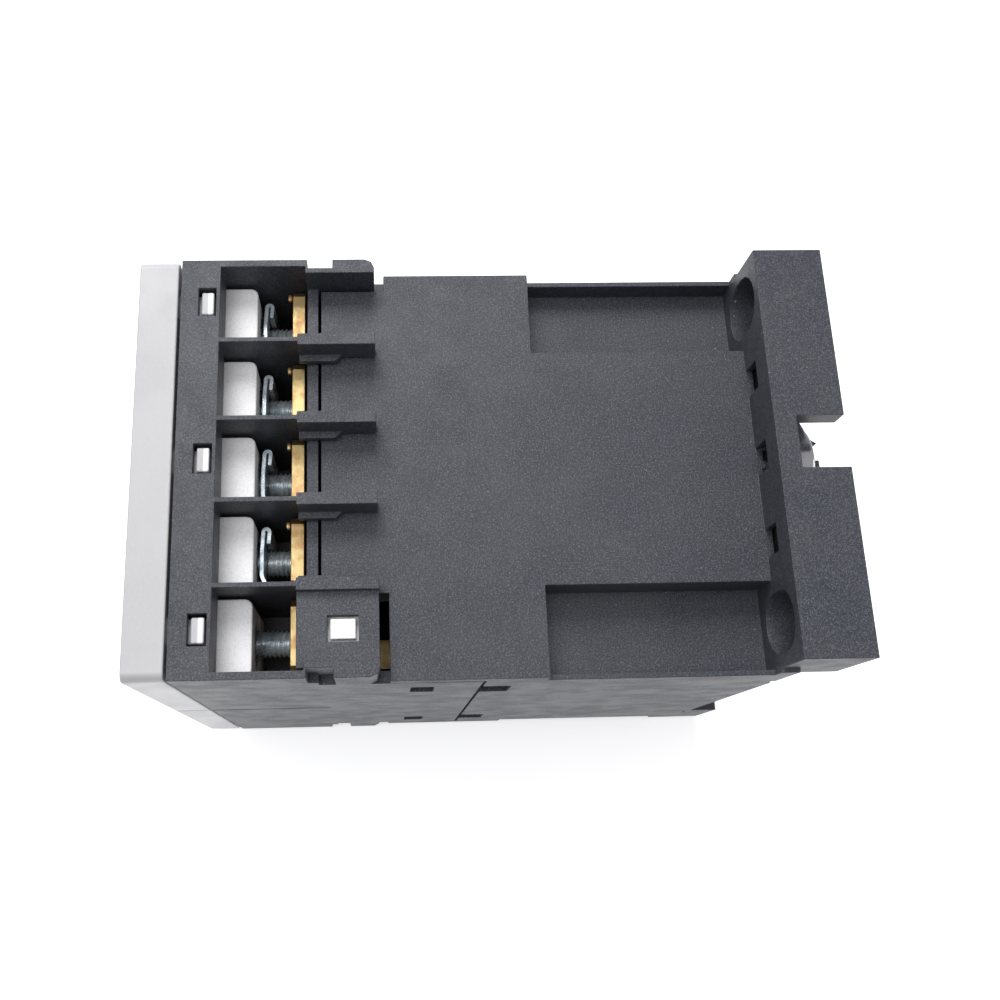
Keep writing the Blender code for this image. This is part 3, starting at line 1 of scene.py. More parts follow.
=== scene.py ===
"""Looks of a rail-mounted control relay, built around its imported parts.

X is the width, Y runs from the front face to the rail, and Z is the height. Lengths are metres. The
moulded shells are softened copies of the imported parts. Screws, washers, springs and the winding are
surfaces worked out with numpy. Every finish is a procedural material on object coordinates.
"""

import json
import logging
import math
from dataclasses import dataclass, field
from enum import Enum
from typing import Any

import bmesh
import bpy
import numpy as np
from mathutils import Matrix, Vector


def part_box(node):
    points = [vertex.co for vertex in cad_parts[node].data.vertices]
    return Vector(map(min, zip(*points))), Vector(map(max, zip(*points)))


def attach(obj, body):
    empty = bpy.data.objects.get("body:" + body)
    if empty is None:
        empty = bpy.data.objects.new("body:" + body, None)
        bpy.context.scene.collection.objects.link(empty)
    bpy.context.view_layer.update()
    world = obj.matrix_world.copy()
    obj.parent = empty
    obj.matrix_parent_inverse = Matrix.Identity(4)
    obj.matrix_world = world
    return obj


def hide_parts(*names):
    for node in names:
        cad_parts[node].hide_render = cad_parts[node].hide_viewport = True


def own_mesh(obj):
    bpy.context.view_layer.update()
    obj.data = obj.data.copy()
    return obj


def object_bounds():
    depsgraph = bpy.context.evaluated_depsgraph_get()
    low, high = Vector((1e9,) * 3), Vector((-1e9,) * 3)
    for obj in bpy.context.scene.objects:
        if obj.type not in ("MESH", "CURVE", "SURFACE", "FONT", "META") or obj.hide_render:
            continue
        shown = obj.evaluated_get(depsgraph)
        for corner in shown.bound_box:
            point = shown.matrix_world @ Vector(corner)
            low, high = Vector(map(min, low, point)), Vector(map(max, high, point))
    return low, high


MM = 0.001
WELD = 0.002 * MM
Colour = Point = tuple[float, float, float]
log = logging.getLogger("control_relay")

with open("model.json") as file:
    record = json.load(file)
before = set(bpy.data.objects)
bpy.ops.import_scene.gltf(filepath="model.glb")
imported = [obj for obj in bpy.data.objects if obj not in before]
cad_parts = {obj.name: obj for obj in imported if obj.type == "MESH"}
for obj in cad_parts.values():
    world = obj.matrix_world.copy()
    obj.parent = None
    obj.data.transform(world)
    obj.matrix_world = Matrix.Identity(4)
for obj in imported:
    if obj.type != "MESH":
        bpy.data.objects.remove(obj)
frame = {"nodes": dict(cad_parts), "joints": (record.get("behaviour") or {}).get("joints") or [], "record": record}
cad_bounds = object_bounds()


# ---------------------------------------------------------------- shader maths


@dataclass(frozen=True)
class Signal:
    """A socket in a material whose numbers take part in Python arithmetic."""

    shader: "Shader"
    socket: bpy.types.NodeSocket

    def math(self, operation: str, *values: Any) -> "Signal":
        """Add a Math node of one operation on these values."""
        return self.shader.node("ShaderNodeMath", {"operation": operation}, dict(enumerate(values)))

    def __add__(self, other: Any) -> "Signal":
        """Sum of two values."""
        return self.math("ADD", self, other)

    def __radd__(self, other: Any) -> "Signal":
        """Sum with a plain number on the left."""
        return self.math("ADD", other, self)

    def __sub__(self, other: Any) -> "Signal":
        """Difference of two values."""
        return self.math("SUBTRACT", self, other)

    def __rsub__(self, other: Any) -> "Signal":
        """Difference with a plain number on the left."""
        return self.math("SUBTRACT", other, self)

    def __mul__(self, other: Any) -> "Signal":
        """Product of two values."""
        return self.math("MULTIPLY", self, other)

    def __rmul__(self, other: Any) -> "Signal":
        """Product with a plain number on the left."""
        return self.math("MULTIPLY", other, self)

    def between(self, low: float, high: float, start: float = 0.0, end: float = 1.0) -> "Signal":
        """Smooth step from start to end as the value goes from low to high.

        Args:
            low: value at which the step begins.
            high: value at which it is complete.
            start: result below low.
            end: result above high.

        Returns:
            The stepped value.
        """
        limits = {"Value": self, "From Min": low, "From Max": high, "To Min": start, "To Max": end}
        return self.shader.node("ShaderNodeMapRange", {"interpolation_type": "SMOOTHSTEP"}, limits)


class Shader:
    """Node tree of one material, with a Principled BSDF at its end."""

    def __init__(self, name: str) -> None:
        """Start an empty material.

        Args:
            name: name of the material.
        """
        self.material = bpy.data.materials.new(name)
        self.material.use_nodes = True
        self.tree = self.material.node_tree
        self.principled = self.tree.nodes["Principled BSDF"]
        self.place = self.node("ShaderNodeTexCoord", {}, {}, "Object")

    def node(self, kind: str, settings: dict[str, Any], inputs: dict[Any, Any],
             output: Any = 0) -> Signal:
        """Add one node.

        Args:
            kind: Blender's name of the node type.
            settings: attributes of the node, set first.
            inputs: value or signal of each socket, by name or number.
            output: which of its outputs is used.

        Returns:
            The chosen output.
        """
        made = self.tree.nodes.new(kind)
        for key, value in settings.items():
            setattr(made, key, value)
        for key, value in inputs.items():
            if isinstance(value, Signal):
                self.tree.links.new(value.socket, made.inputs[key])
            else:
                made.inputs[key].default_value = value
        return Signal(self, made.outputs[output])

    def noise(self, size: float, detail: float = 2.0, stretch: Point = (1.0, 1.0, 1.0)) -> Signal:
        """Noise whose blotches are about one size.

        Args:
            size: width of a blotch in metres.
            detail: number of finer octaves.
            stretch: frequency along each axis, to draw the blotches out.

        Returns:
            Noise around 0.5.
        """
        place = self.node("ShaderNodeMapping", {}, {"Vector": self.place, "Scale": stretch})
        inputs = {"Vector": place, "Scale": 1.0 / size, "Detail": detail, "Roughness": 0.6}
        return self.node("ShaderNodeTexNoise", {}, inputs)

    def axis(self, letter: str) -> Signal:
        """One object coordinate, in metres."""
        return self.node("ShaderNodeSeparateXYZ", {}, {0: self.place}, letter)

    def mix(self, factor: Any, first: Any, second: Any) -> Signal:
        """Colour between two colours.

        Args:
            factor: 0 gives the first colour and 1 the second.
            first: colour or signal.
            second: colour or signal.

        Returns:
            The mixed colour.
        """
        ends = [(*end, 1.0) if isinstance(end, tuple) else end for end in (first, second)]
        inputs = {0: factor, 6: ends[0], 7: ends[1]}
        return self.node("ShaderNodeMix", {"data_type": "RGBA"}, inputs, 2)

    def bump(self, height: Signal, depth: float) -> Signal:
        """Normal of a surface whose relief is the height signal times a depth in metres."""
        inputs = {"Height": height, "Distance": depth, "Strength": 1.0}
        return self.node("ShaderNodeBump", {}, inputs)

    def finish(self, **sockets: Any) -> bpy.types.Material:
        """Set the Principled BSDF's sockets.

        Args:
            **sockets: value or signal by socket name, with _ for a space.

        Returns:
            The material.
        """
        for key, value in sockets.items():
            socket = self.principled.inputs[key.replace("_", " ")]
            if isinstance(value, Signal):
                self.tree.links.new(value.socket, socket)
            else:
                socket.default_value = (*value, 1.0) if isinstance(value, tuple) else value
        return self.material


# ---------------------------------------------------------------- finishes


@dataclass(frozen=True)
class MouldedPlastic:
    """Injection-moulded plastic with a spark-eroded grain, soft clouds and rubbed patches."""

    name: str
    colour: Colour
    cloud: Colour
    fleck: Colour
    roughness: float
    grain: float = 0.22 * MM
    grain_depth: float = 0.02 * MM
    fleck_share: float = 0.7
    dusty: bool = False
    # Painted light: past a depth along Y the colour turns lighter, to offset the shade on parts deep between the
    # ribs.
    sleeve_painted_light: Colour | None = None
    sleeve_painted_light_from: float = -60.4 * MM
    dust: Colour = (0.42, 0.42, 0.42)

    def material(self) -> bpy.types.Material:
        """Build the material.

        Clouds and flecks vary the colour, a lighter colour past one depth along Y is painted light, grain is the
        relief, and rubbed patches are less rough.

        Returns:
            The material.
        """
        shader = Shader(self.name)
        coarse = shader.noise(self.grain, 3.0)
        fine = shader.noise(self.grain * 0.42, 1.0)
        clouds = shader.noise(9 * MM, 3.0)
        rubs = shader.noise(3.4 * MM, 3.0, (1.0, 0.8, 1.0))
        colour = shader.mix(clouds.between(0.38, 0.64), self.colour, self.cloud)
        # Painted light: parts deeper than the given Y get a lighter colour that stands in for the light their
        # shade takes away.
        if self.sleeve_painted_light:
            depth = shader.axis("Y")
            painted_light_share = depth.between(self.sleeve_painted_light_from, self.sleeve_painted_light_from + 0.2 * MM)
            colour = shader.mix(painted_light_share, colour, self.sleeve_painted_light)
        flecks = (coarse * 0.45 + fine * 0.55).between(0.46, 0.66) * self.fleck_share
        colour = shader.mix(flecks, colour, self.fleck)
        if self.dusty:
            colour = shader.mix(self._dust(shader), colour, self.dust)
        rough = rubs.between(0.35, 0.68, self.roughness - 0.07, self.roughness + 0.06)
        relief = shader.bump(coarse * 0.65 + fine * 0.35, self.grain_depth)
        return shader.finish(Base_Color=colour, Roughness=rough, Normal=relief,
                             Specular_IOR_Level=0.42)

    def _dust(self, shader: Shader) -> Signal:
        """Share of dust.

        The crumbs are isolated peaks of a fine noise, most of them in the corner ahead of the flange.

        Args:
            shader: the material that the dust lies on.

        Returns:
            0 on clean plastic and 1 on a crumb.
        """
        crumbs = shader.noise(0.33 * MM, 1.0).between(0.73, 0.77)
        depth = shader.axis("Y")
        corner = depth.between(-5.5 * MM, -2.6 * MM) * depth.between(-1.9 * MM, -0.6 * MM, 1.0, 0.0)
        patches = shader.noise(3.1 * MM, 1.0).between(0.46, 0.6)
        stray = shader.noise(0.21 * MM, 0.0).between(0.86, 0.87)
        return crumbs * corner * patches + stray * 0.55


@dataclass(frozen=True)
class BrightMetal:
    """Plated or rolled metal with drawn-out marks and stains of a second colour."""

    name: str
    colour: Colour
    stain: Colour
    roughness: float
    marks: Point = (1.0, 1.0, 1.0)
    mark_depth: float = 0.006 * MM
    stain_size: float = 1.3 * MM
    metallic: float = 1.0

    def material(self) -> bpy.types.Material:
        """Build the material.

        Stains vary the colour and roughness, and fine marks are the relief.

        Returns:
            The material.
        """
        shader = Shader(self.name)
        stains = shader.noise(self.stain_size, 3.0)
        marks = shader.noise(0.16 * MM, 2.0, self.marks)
        colour = shader.mix(stains.between(0.42, 0.66), self.colour, self.stain)
        wear = stains * 0.6 + marks * 0.4
        rough = wear.between(0.3, 0.7, self.roughness * 0.7, self.roughness * 1.5)
        relief = shader.bump(marks, self.mark_depth)
        return shader.finish(Base_Color=colour, Metallic=self.metallic, Roughness=rough,
                             Normal=relief)


@dataclass(frozen=True)
class SheetStack:
    """Iron made of stacked sheets: fine dark lines between the sheets and ground, spotted faces."""

    name: str
    colour: Colour
    line: Colour
    spot: Colour = (0.2, 0.19, 0.18)
    sheet: float = 0.5 * MM

    def material(self) -> bpy.types.Material:
        """Build the material.

        A sine wave across the stack darkens and sinks the joints between the sheets.

        Returns:
            The material.
        """
        shader = Shader(self.name)
        phase = shader.axis("X") * (2 * math.pi / self.sheet)
        joints = phase.math("SINE", phase).between(0.82, 0.98)
        spots = shader.noise(0.9 * MM, 3.0)
        face = shader.mix(spots.between(0.4, 0.7), self.colour, self.spot)
        colour = shader.mix(joints, face, self.line)
        rough = spots.between(0.3, 0.7, 0.3, 0.55)
        relief = shader.bump(1.0 - joints, 0.03 * MM)
        return shader.finish(Base_Color=colour, Metallic=0.9, Roughness=rough, Normal=relief)


class Finish(Enum):
    """Every finish of the relay, by the record's material slot."""

    HOUSING = MouldedPlastic("housing_plastic", (0.028, 0.031, 0.042), (0.038, 0.040, 0.051),
                             (0.135, 0.142, 0.165), 0.5, 0.2 * MM, 0.04 * MM, 0.85, dusty=True)
    # The cover's lighter second colour is painted light on the sleeves that sit deep in the chambers.
    COVER = MouldedPlastic("cover_plastic", (0.485, 0.485, 0.50), (0.51, 0.51, 0.525),
                           (0.56, 0.56, 0.57), 0.42, 0.4 * MM, 0.006 * MM, 0.35,
                           sleeve_painted_light=(0.90, 0.89, 0.91))
    MARKER = MouldedPlastic("marker_plastic", (0.82, 0.82, 0.82), (0.79, 0.80, 0.81),
                            (0.86, 0.86, 0.86), 0.38, 0.5 * MM, 0.004 * MM, 0.3)
    CARRIER = MouldedPlastic("carrier_plastic", (0.055, 0.058, 0.066), (0.07, 0.07, 0.08),
                             (0.13, 0.13, 0.145), 0.45)
    BOBBIN = MouldedPlastic("bobbin_plastic", (0.70, 0.66, 0.54), (0.64, 0.60, 0.49),
                            (0.78, 0.75, 0.66), 0.45, 0.3 * MM, 0.01 * MM)
    PAD = MouldedPlastic("pad_rubber", (0.03, 0.03, 0.03), (0.045, 0.045, 0.045),
                         (0.07, 0.07, 0.07), 0.8)
    BRASS = BrightMetal("brass", (0.50, 0.39, 0.19), (0.52, 0.31, 0.15), 0.42, (1.0, 1.0, 0.2))
    ZINC = BrightMetal("zinc_steel", (0.70, 0.76, 0.81), (0.36, 0.46, 0.52), 0.26, metallic=0.66)
    SPRING = BrightMetal("spring_steel", (0.76, 0.76, 0.80), (0.60, 0.60, 0.66), 0.18,
                         (0.15, 1.0, 1.0))
    COPPER = BrightMetal("copper", (0.70, 0.32, 0.15), (0.52, 0.20, 0.10), 0.3)
    IRON = SheetStack("core_iron", (0.36, 0.37, 0.39), (0.06, 0.05, 0.05))


class Palette:
    """The materials of the finishes, each made once."""

    def __init__(self) -> None:
        """Build every finish."""
        self._made = {finish: finish.value.material() for finish in Finish}

    def dress(self, piece: bpy.types.Object, finish: Finish) -> None:
        """Give a piece one finish, and the record's slot of the same name.

        Args:
            piece: object to dress.
            finish: which finish it takes.
        """
        piece.data.materials.clear()
        piece.data.materials.append(self._made[finish])


# ---------------------------------------------------------------- pieces


def link(name: str, data: bpy.types.ID) -> bpy.types.Object:
    """Put an object in the scene, at the origin.

    Args:
        name: name of the object.
        data: its mesh, lamp or camera.

    Returns:
        The object.
    """
    item = bpy.data.objects.new(name, data)
    bpy.context.scene.collection.objects.link(item)
    return item


@dataclass
class Workshop:
    """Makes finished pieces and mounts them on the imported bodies."""

    palette: Palette
    bodies: dict[str, str] = field(init=False)

    def __post_init__(self) -> None:
        """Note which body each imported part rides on."""
        groups = frame["record"]["behaviour"]["bodies"]
        self.bodies = {node: body for body, members in groups.items() for node in members}

    def mount(self, piece: bpy.types.Object, node: str, finish: Finish,
              replace: bool = True) -> None:
        """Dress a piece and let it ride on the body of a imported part.

        Args:
            piece: the new piece.
            node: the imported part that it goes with.
            finish: its finish.
            replace: whether the piece stands for that part.
        """
        body = self.bodies[node]
        self.palette.dress(piece, finish)
        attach(piece, body)
        if replace:
            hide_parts(node)
        log.info("%s: %d faces, rides on %s", piece.name, len(piece.data.polygons), body)

    def soften(self, node: str, finish: Finish, radius: float, segments: int = 2) -> None:
        """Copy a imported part, merge its triangles into faces and round its edges.

        Args:
            node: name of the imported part.
            finish: its finish.
            radius: width of the rounding.
            segments: faces across the rounding.
        """
        mesh = frame["nodes"][node].data.copy()
        bm = bmesh.new()
        bm.from_mesh(mesh)
        bmesh.ops.remove_doubles(bm, verts=bm.verts, dist=WELD)
        bmesh.ops.dissolve_limit(bm, angle_limit=math.radians(0.5), verts=bm.verts,
                                 edges=bm.edges)
        for face in bm.faces:
            face.smooth = True
        bm.to_mesh(mesh)
        bm.free()
        piece = link(f"{node}_moulded", mesh)
        bevel = piece.modifiers.new("rounded_edges", "BEVEL")
        bevel.offset_type = "WIDTH"
        bevel.width = radius
        bevel.segments = segments
        bevel.limit_method = "ANGLE"
        bevel.angle_limit = math.radians(30)
        bevel.use_clamp_overlap = False
        flat = piece.modifiers.new("flat_faces", "WEIGHTED_NORMAL")
        flat.weight = 100
        self.mount(piece, node, finish)

    def surface(self, name: str, points: np.ndarray, closed: bool = True) -> bpy.types.Object:
        """Make a closed mesh from a grid of points.

        Args:
            name: name of the piece.
            points: array of rows, columns and coordinates. Its columns run round the piece.
            closed: whether the last row joins the first. If not, end rows that aren't one point
                are filled.

        Returns:
            The piece, with its faces outwards.
        """
        rows, columns = points.shape[:2]
        index = np.arange(rows * columns).reshape(rows, columns)
        ahead = np.roll(index, -1, axis=0) if closed else index[1:]
        here = index if closed else index[:-1]
        quads = np.stack([here, np.roll(here, -1, 1), np.roll(ahead, -1, 1), ahead], axis=-1)
        mesh = bpy.data.meshes.new(name)
        mesh.from_pydata(points.reshape(-1, 3).tolist(), [], quads.reshape(-1, 4).tolist())
        bm = bmesh.new()
        bm.from_mesh(mesh)
        bmesh.ops.remove_doubles(bm, verts=bm.verts, dist=WELD / 4)
        if not closed:
            rims = [edge for edge in bm.edges if edge.is_boundary]
            bmesh.ops.holes_fill(bm, edges=rims, sides=0)
        bmesh.ops.recalc_face_normals(bm, faces=bm.faces)
        for face in bm.faces:
            face.smooth = True
        bm.to_mesh(mesh)
        bm.free()
        mesh.set_sharp_from_angle(angle=math.radians(40))
        return link(name, mesh)


def middle(node: str) -> Vector:
    """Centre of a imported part's box."""
    low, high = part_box(node)
    return (low + high) / 2


def smooth_step(value: np.ndarray) -> np.ndarray:
    """Smooth step of an array from 0 to 1."""
    held = np.clip(value, 0.0, 1.0)
    return held * held * (3 - 2 * held)


def directions(path: np.ndarray) -> np.ndarray:
    """Unit vector along a path at each of its points."""
    along = np.gradient(path, axis=0)
    return along / np.linalg.norm(along, axis=1, keepdims=True)


def squared_off(wave: np.ndarray, power: float) -> np.ndarray:
    """A cosine or sine raised to a power with its sign kept, as a superellipse has it."""
    return np.sign(wave) * np.abs(wave) ** power


def tube(centres: np.ndarray, radius: float, sides: int = 10) -> np.ndarray:
    """Points of a round tube: at each centre, a circle across the direction to the next centre.

    Args:
        centres: array of points along the tube.
        radius: radius of the tube.
        sides: points round it.

    Returns:
        Array of rings of points.
    """
    along = directions(centres)
    across = np.cross(along, (0.0, 1.0, 0.0))
    across /= np.linalg.norm(across, axis=1, keepdims=True)
    up = np.cross(across, along)
    turn = np.linspace(0, 2 * np.pi, sides, endpoint=False)
    cos, sin = np.cos(turn)[None, :, None], np.sin(turn)[None, :, None]
    return centres[:, None] + radius * (across[:, None] * cos + up[:, None] * sin)


# ---------------------------------------------------------------- sub-assemblies


@dataclass
class Housing:
    """Front cover, terminal block, base, coil holders and marker plate."""

    shop: Workshop
    edge: float = 0.11 * MM
    cover_edge: float = 0.26 * MM
    marker_edge: float = 0.2 * MM

    def build(self) -> None:
        """Soften the mouldings and dress them."""
        self.shop.soften("terminal_housing", Finish.HOUSING, self.edge)
        self.shop.soften("base_housing", Finish.HOUSING, self.edge)
        self.shop.soften("front_cover", Finish.COVER, self.cover_edge, 3)
        self.shop.soften("marker_plate", Finish.MARKER, self.marker_edge)
        for end in ("upper", "lower"):
            self.shop.soften(f"coil_holder_{end}", Finish.COVER, self.edge)


@dataclass
class Terminals:
    """Screws, clamp washers and bars of the ten terminals."""

    shop: Workshop
    pitch: float = 0.5 * MM
    thread_depth: float = 0.24 * MM
    shank: float = 1.5 * MM
    head: float = 2.6 * MM
    head_height: float = 2.0 * MM
    sides: int = 48
    sheet: float = 0.52 * MM
    curl: float = 0.33 * MM
    lip_y: float = -52.0 * MM
    lip_x: float = -2.9 * MM
    bar_edge: float = 0.12 * MM
    washer_edge: float = 0.1 * MM

    def build(self) -> None:
        """Make every terminal at both ends."""
        for end in ("upper", "lower"):
            for number in range(1, 5):
                self.shop.soften(f"fixed_contact_{end}_{number}", Finish.BRASS, self.bar_edge)
                self.screw(f"{end}_{number}")
                self.lip(end, number)
                self.saddle(f"{end}_{number}")
            self.shop.soften(f"coil_terminal_{end}", Finish.BRASS, self.bar_edge)
            self.screw(f"coil_{end}")
            self.shop.soften(f"washer_coil_{end}", Finish.ZINC, self.washer_edge)

    def screw(self, key: str) -> None:
        """Make one screw with a cut thread and a cross recess.

        The screw is a profile turned about Y. Along its shank the radius gains a ridge that rises
        and falls once in each pitch and climbs by one pitch a turn. The ridge winds left-handed. On
        top, the recess is the larger of two crossed slots, each the product of two smooth steps.

        Args:
            key: which screw.
        """
        node = f"screw_{key}"
        low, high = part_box(node)
        centre = middle(node)
        under = low.y + self.head_height
        length = high.y - under
        turn = np.linspace(0, 2 * np.pi, self.sides, endpoint=False)[None, :]
        ring = np.ones((1, self.sides))
        shares = np.concatenate([np.linspace(0, 0.86, 16), [0.95, 0.985, 1.0]])
        radii = shares[:, None] * self.head * ring
        x, z = radii * np.cos(turn), radii * np.sin(turn)
        slots = [smooth_step((0.42 * MM - np.abs(a)) / (0.16 * MM) + 0.5)
                 * smooth_step((reach - np.abs(b)) / (0.3 * MM) + 0.5)
                 for a, b, reach in ((x, z, 1.5 * MM), (z, x, 2.3 * MM))]
        crown = 0.32 * MM * (radii / self.head) ** 4
        top_y = low.y + crown + 1.1 * MM * np.maximum(*slots)
        rim_y = np.array([low.y + 0.55 * MM, low.y + 0.9 * MM, under - 0.1 * MM, under])
        side_y = rim_y[:, None] * ring
        side_r = self.head * np.array([1.0, 1.0, 1.0, 0.97])[:, None] * ring
        run = np.linspace(0, length, max(24, round(length / self.pitch * 8)))[:, None] * ring
        phase = (run / self.pitch - turn / (2 * np.pi)) % 1.0
        ridge = self.thread_depth * np.abs(2 * phase - 1) ** 1.4
        fade = smooth_step((run - 0.15 * MM) / (0.3 * MM))
        taper = smooth_step((length - run) / (0.6 * MM))
        shank_r = (self.shank - self.thread_depth * fade + ridge * fade) * (0.55 + 0.45 * taper)
        pole = np.zeros((1, self.sides))
        radius = np.vstack([radii, side_r, shank_r, pole])
        depth = np.vstack([top_y, side_y, under + run, pole + high.y])
        points = np.stack([centre.x + radius * np.cos(turn), depth,
                           centre.z + radius * np.sin(turn)], -1)
        piece = self.shop.surface(f"{node}_cut", points, closed=False)
        self.shop.mount(piece, node, Finish.ZINC)

    def saddle(self, key: str) -> None:
        """Make one saddle washer from spring sheet.

        Its section is a path from +X to -X. It bends back at +X, runs straight across the screw,
        leans rearwards by a smooth step, curls through half a turn of a small circle and runs a
        little way back beside itself. The sheet's faces lie half its thickness to either side of the
        path. Along Z the section thins near both ends, so that the edges are round.

        Args:
            key: which washer.
        """
        node = f"washer_{key}"
        low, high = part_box(node)
        centre = middle(node)
        half = (high.x - low.x) / 2 - 0.02 * MM
        curl = self.curl
        lean = max(high.y - low.y - self.sheet - 2 * curl, 0.1 * MM)
        bend_x = -half + self.sheet / 2 + curl
        across_x = np.linspace(half, bend_x, 30)
        wing_y = 0.5 * MM * smooth_step((across_x / half - 0.5) / 0.5)
        lean_y = lean * smooth_step((-0.12 * half - across_x) / (0.75 * half))
        turn = np.linspace(0.5 * np.pi, 1.5 * np.pi, 12)[1:]
        back_x = bend_x + np.linspace(0.15, 1.25, 6) * MM
        path_x = np.concatenate([across_x, bend_x + curl * np.cos(turn), back_x])
        path_y = np.concatenate([wing_y + lean_y, lean + curl - curl * np.sin(turn),
                                 lean + 2 * curl - 0.08 * (back_x - bend_x)])
        path = np.stack([path_x, path_y], -1)
        along = directions(path)
        normal = np.stack([-along[:, 1], along[:, 0]], -1) * self.sheet / 2
        section = np.vstack([path + normal, (path - normal)[::-1]])
        spine = np.vstack([path, path[::-1]])
        share = np.linspace(-1, 1, 25)
        thin = (1 - np.abs(share) ** 24)[:, None, None]
        body = spine[None] + (section - spine)[None] * (0.72 + 0.28 * thin)
        heights = np.broadcast_to((share * (high.z - low.z) / 2)[:, None], body.shape[:2])
        points = np.stack([centre.x + body[..., 0], low.y + self.sheet / 2 + body[..., 1],
                           centre.z + heights], -1)
        piece = self.shop.surface(f"{node}_saddle", points, closed=False)
        self.drill(piece, centre, self.shank + 0.12 * MM)
        self.shop.mount(piece, node, Finish.ZINC)

    def lip(self, end: str, number: int) -> None:
        """Make the small pressed lip in front of a bar's outer edge.

        Its section is a superellipse of the fourth power, carried along X with a width that falls to
        a point at both ends as the fourth root of the parabola 1 - t squared.

        Args:
            end: upper or lower.
            number: column of the bar.
        """
        node = f"fixed_contact_{end}_{number}"
        low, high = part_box(node)
        sign = 1 if end == "upper" else -1
        top = high.z if sign > 0 else low.z
        span = np.linspace(-1, 1, 17)[:, None]
        turn = np.linspace(0, 2 * np.pi, 20, endpoint=False)[None, :]
        cos, sin = np.cos(turn), np.sin(turn)
        swell = np.maximum(1 - span ** 2, 0) ** 0.25
        across = squared_off(cos, 0.5) * 0.24 * MM * swell
        rise = squared_off(sin, 0.5) * 0.3 * MM * swell
        along = middle(f"screw_{end}_{number}").x + self.lip_x + span * 0.42 * MM
        points = np.stack([np.broadcast_to(along, across.shape), self.lip_y + across,
                           top - sign * 0.34 * MM + rise], -1)
        piece = self.shop.surface(f"{node}_lip", points, closed=False)
        self.shop.mount(piece, node, Finish.BRASS, replace=False)

    def drill(self, piece: bpy.types.Object, centre: Vector, radius: float) -> None:
        """Cut a round hole along Y through a piece.

        Args:
            piece: what is drilled.
            centre: a point on the hole's axis.
            radius: radius of the hole.
        """
        mesh = bpy.data.meshes.new("drill")
        bm = bmesh.new()
        place = Matrix.Translation(centre) @ Matrix.Rotation(math.radians(90), 4, "X")
        bmesh.ops.create_cone(bm, cap_ends=True, segments=32, radius1=radius, radius2=radius,
                              depth=10 * MM, matrix=place)
        bm.to_mesh(mesh)
        bm.free()
        tool = link("drill", mesh)
        step = piece.modifiers.new("hole", "BOOLEAN")
        step.object = tool
        step.solver = "EXACT"
        bpy.context.view_layer.update()
        graph = bpy.context.evaluated_depsgraph_get()
        made = bpy.data.meshes.new_from_object(piece.evaluated_get(graph))
        piece.modifiers.clear()
        piece.data = made
        bpy.data.objects.remove(tool)


@dataclass
class RailLeaf:
    """Bowed leaf spring that pulls the relay onto its rail."""

    shop: Workshop
    node: str = "rail_spring"
    thickness: float = 0.5 * MM
    steps: int = 96
    # Painted shade: a thin dark sheet behind the foot windows stands in for the shade in the pocket.
    shade_sheet_y: float = -0.45 * MM
    shade_sheet_from: float = 21.1 * MM
    shade_sheet_to: float = 28.55 * MM
    shade_sheet_thickness: float = 0.16 * MM

    def build(self) -> None:
        """Carry a rounded section along the arch.

        The arch's centre line is a raised cosine from the feet to the crown. Its section is a
        superellipse, of the eighth power across the leaf and the fifth through its thickness.
        """
        low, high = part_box(self.node)
        span = np.linspace(-1, 1, self.steps)
        half = (high.x - low.x) / 2 - 0.01 * MM
        rise = high.z - low.z - self.thickness
        path_z = high.z - self.thickness / 2 - rise * (1 - np.cos(np.pi * np.abs(span))) / 2
        path = np.stack([middle(self.node).x + span * half, path_z], -1)
        along = directions(path)
        turn = np.linspace(0, 2 * np.pi, 28, endpoint=False)
        across = squared_off(np.cos(turn), 0.25) * (high.y - low.y) / 2
        thick = squared_off(np.sin(turn), 0.4) * self.thickness / 2
        normal = np.stack([-along[:, 1], along[:, 0]], -1)
        points = np.stack([
            path[:, None, 0] + normal[:, None, 0] * thick,
            np.broadcast_to((low.y + high.y) / 2 + across, (self.steps, len(turn))),
            path[:, None, 1] + normal[:, None, 1] * thick,
        ], -1)
        piece = self.shop.surface(f"{self.node}_leaf", points, closed=False)
        self.shop.mount(piece, self.node, Finish.SPRING)
        self.shade_sheet()

    def shade_sheet(self) -> None:
        """Stand a thin dark sheet between the leaf and the foot windows. It is painted shade that keeps the
        windows dark.

        The dark sheet lies across X, its Y follows a shallow cosine, and its rows run up Z.
        """
        low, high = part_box(self.node)
        half_x = (high.x - low.x) / 2 + 0.3 * MM
        half_y = self.shade_sheet_thickness / 2
        span = np.linspace(-1, 1, 60)
        wave = 0.08 * MM * np.cos(span * 18)
        outline = np.concatenate([wave + half_y, (wave - half_y)[::-1]]) + self.shade_sheet_y
        place = np.concatenate([span, span[::-1]]) * half_x + middle(self.node).x
        rows = np.linspace(self.shade_sheet_from, self.shade_sheet_to, 8)[:, None]
        shape = (len(rows), len(outline))
        points = np.stack([np.broadcast_to(place, shape), np.broadcast_to(outline, shape),
                           np.broadcast_to(rows, shape)], -1)
        # Painted shade: dark plastic where the windows show only shade.
        piece = self.shop.surface("foot_window_shield", points, closed=False)
        self.shop.mount(piece, "base_housing", Finish.CARRIER, replace=False)


@dataclass
class ContactSet:
    """Carrier with its four bridges and their springs."""

    shop: Workshop
    wire: float = 0.2 * MM
    turns: float = 3.0
    kept_length: float = 0.8
    carrier_edge: float = 0.2 * MM
    bridge_edge: float = 0.12 * MM

    def build(self) -> None:
        """Soften the carrier and bridges, and wind the springs."""
        self.shop.soften("contact_carrier", Finish.CARRIER, self.carrier_edge)
        for number in range(1, 5):
            self.shop.soften(f"contact_bridge_{number}", Finish.BRASS, self.bridge_edge)
            spring = CoilSpring(self.shop, f"contact_spring_{number}", self.wire, self.turns)
            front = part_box(spring.node)[0]
            spring.build(f"bridge_{number}_slide", (front.x, front.y, 0.0), self.kept_length)


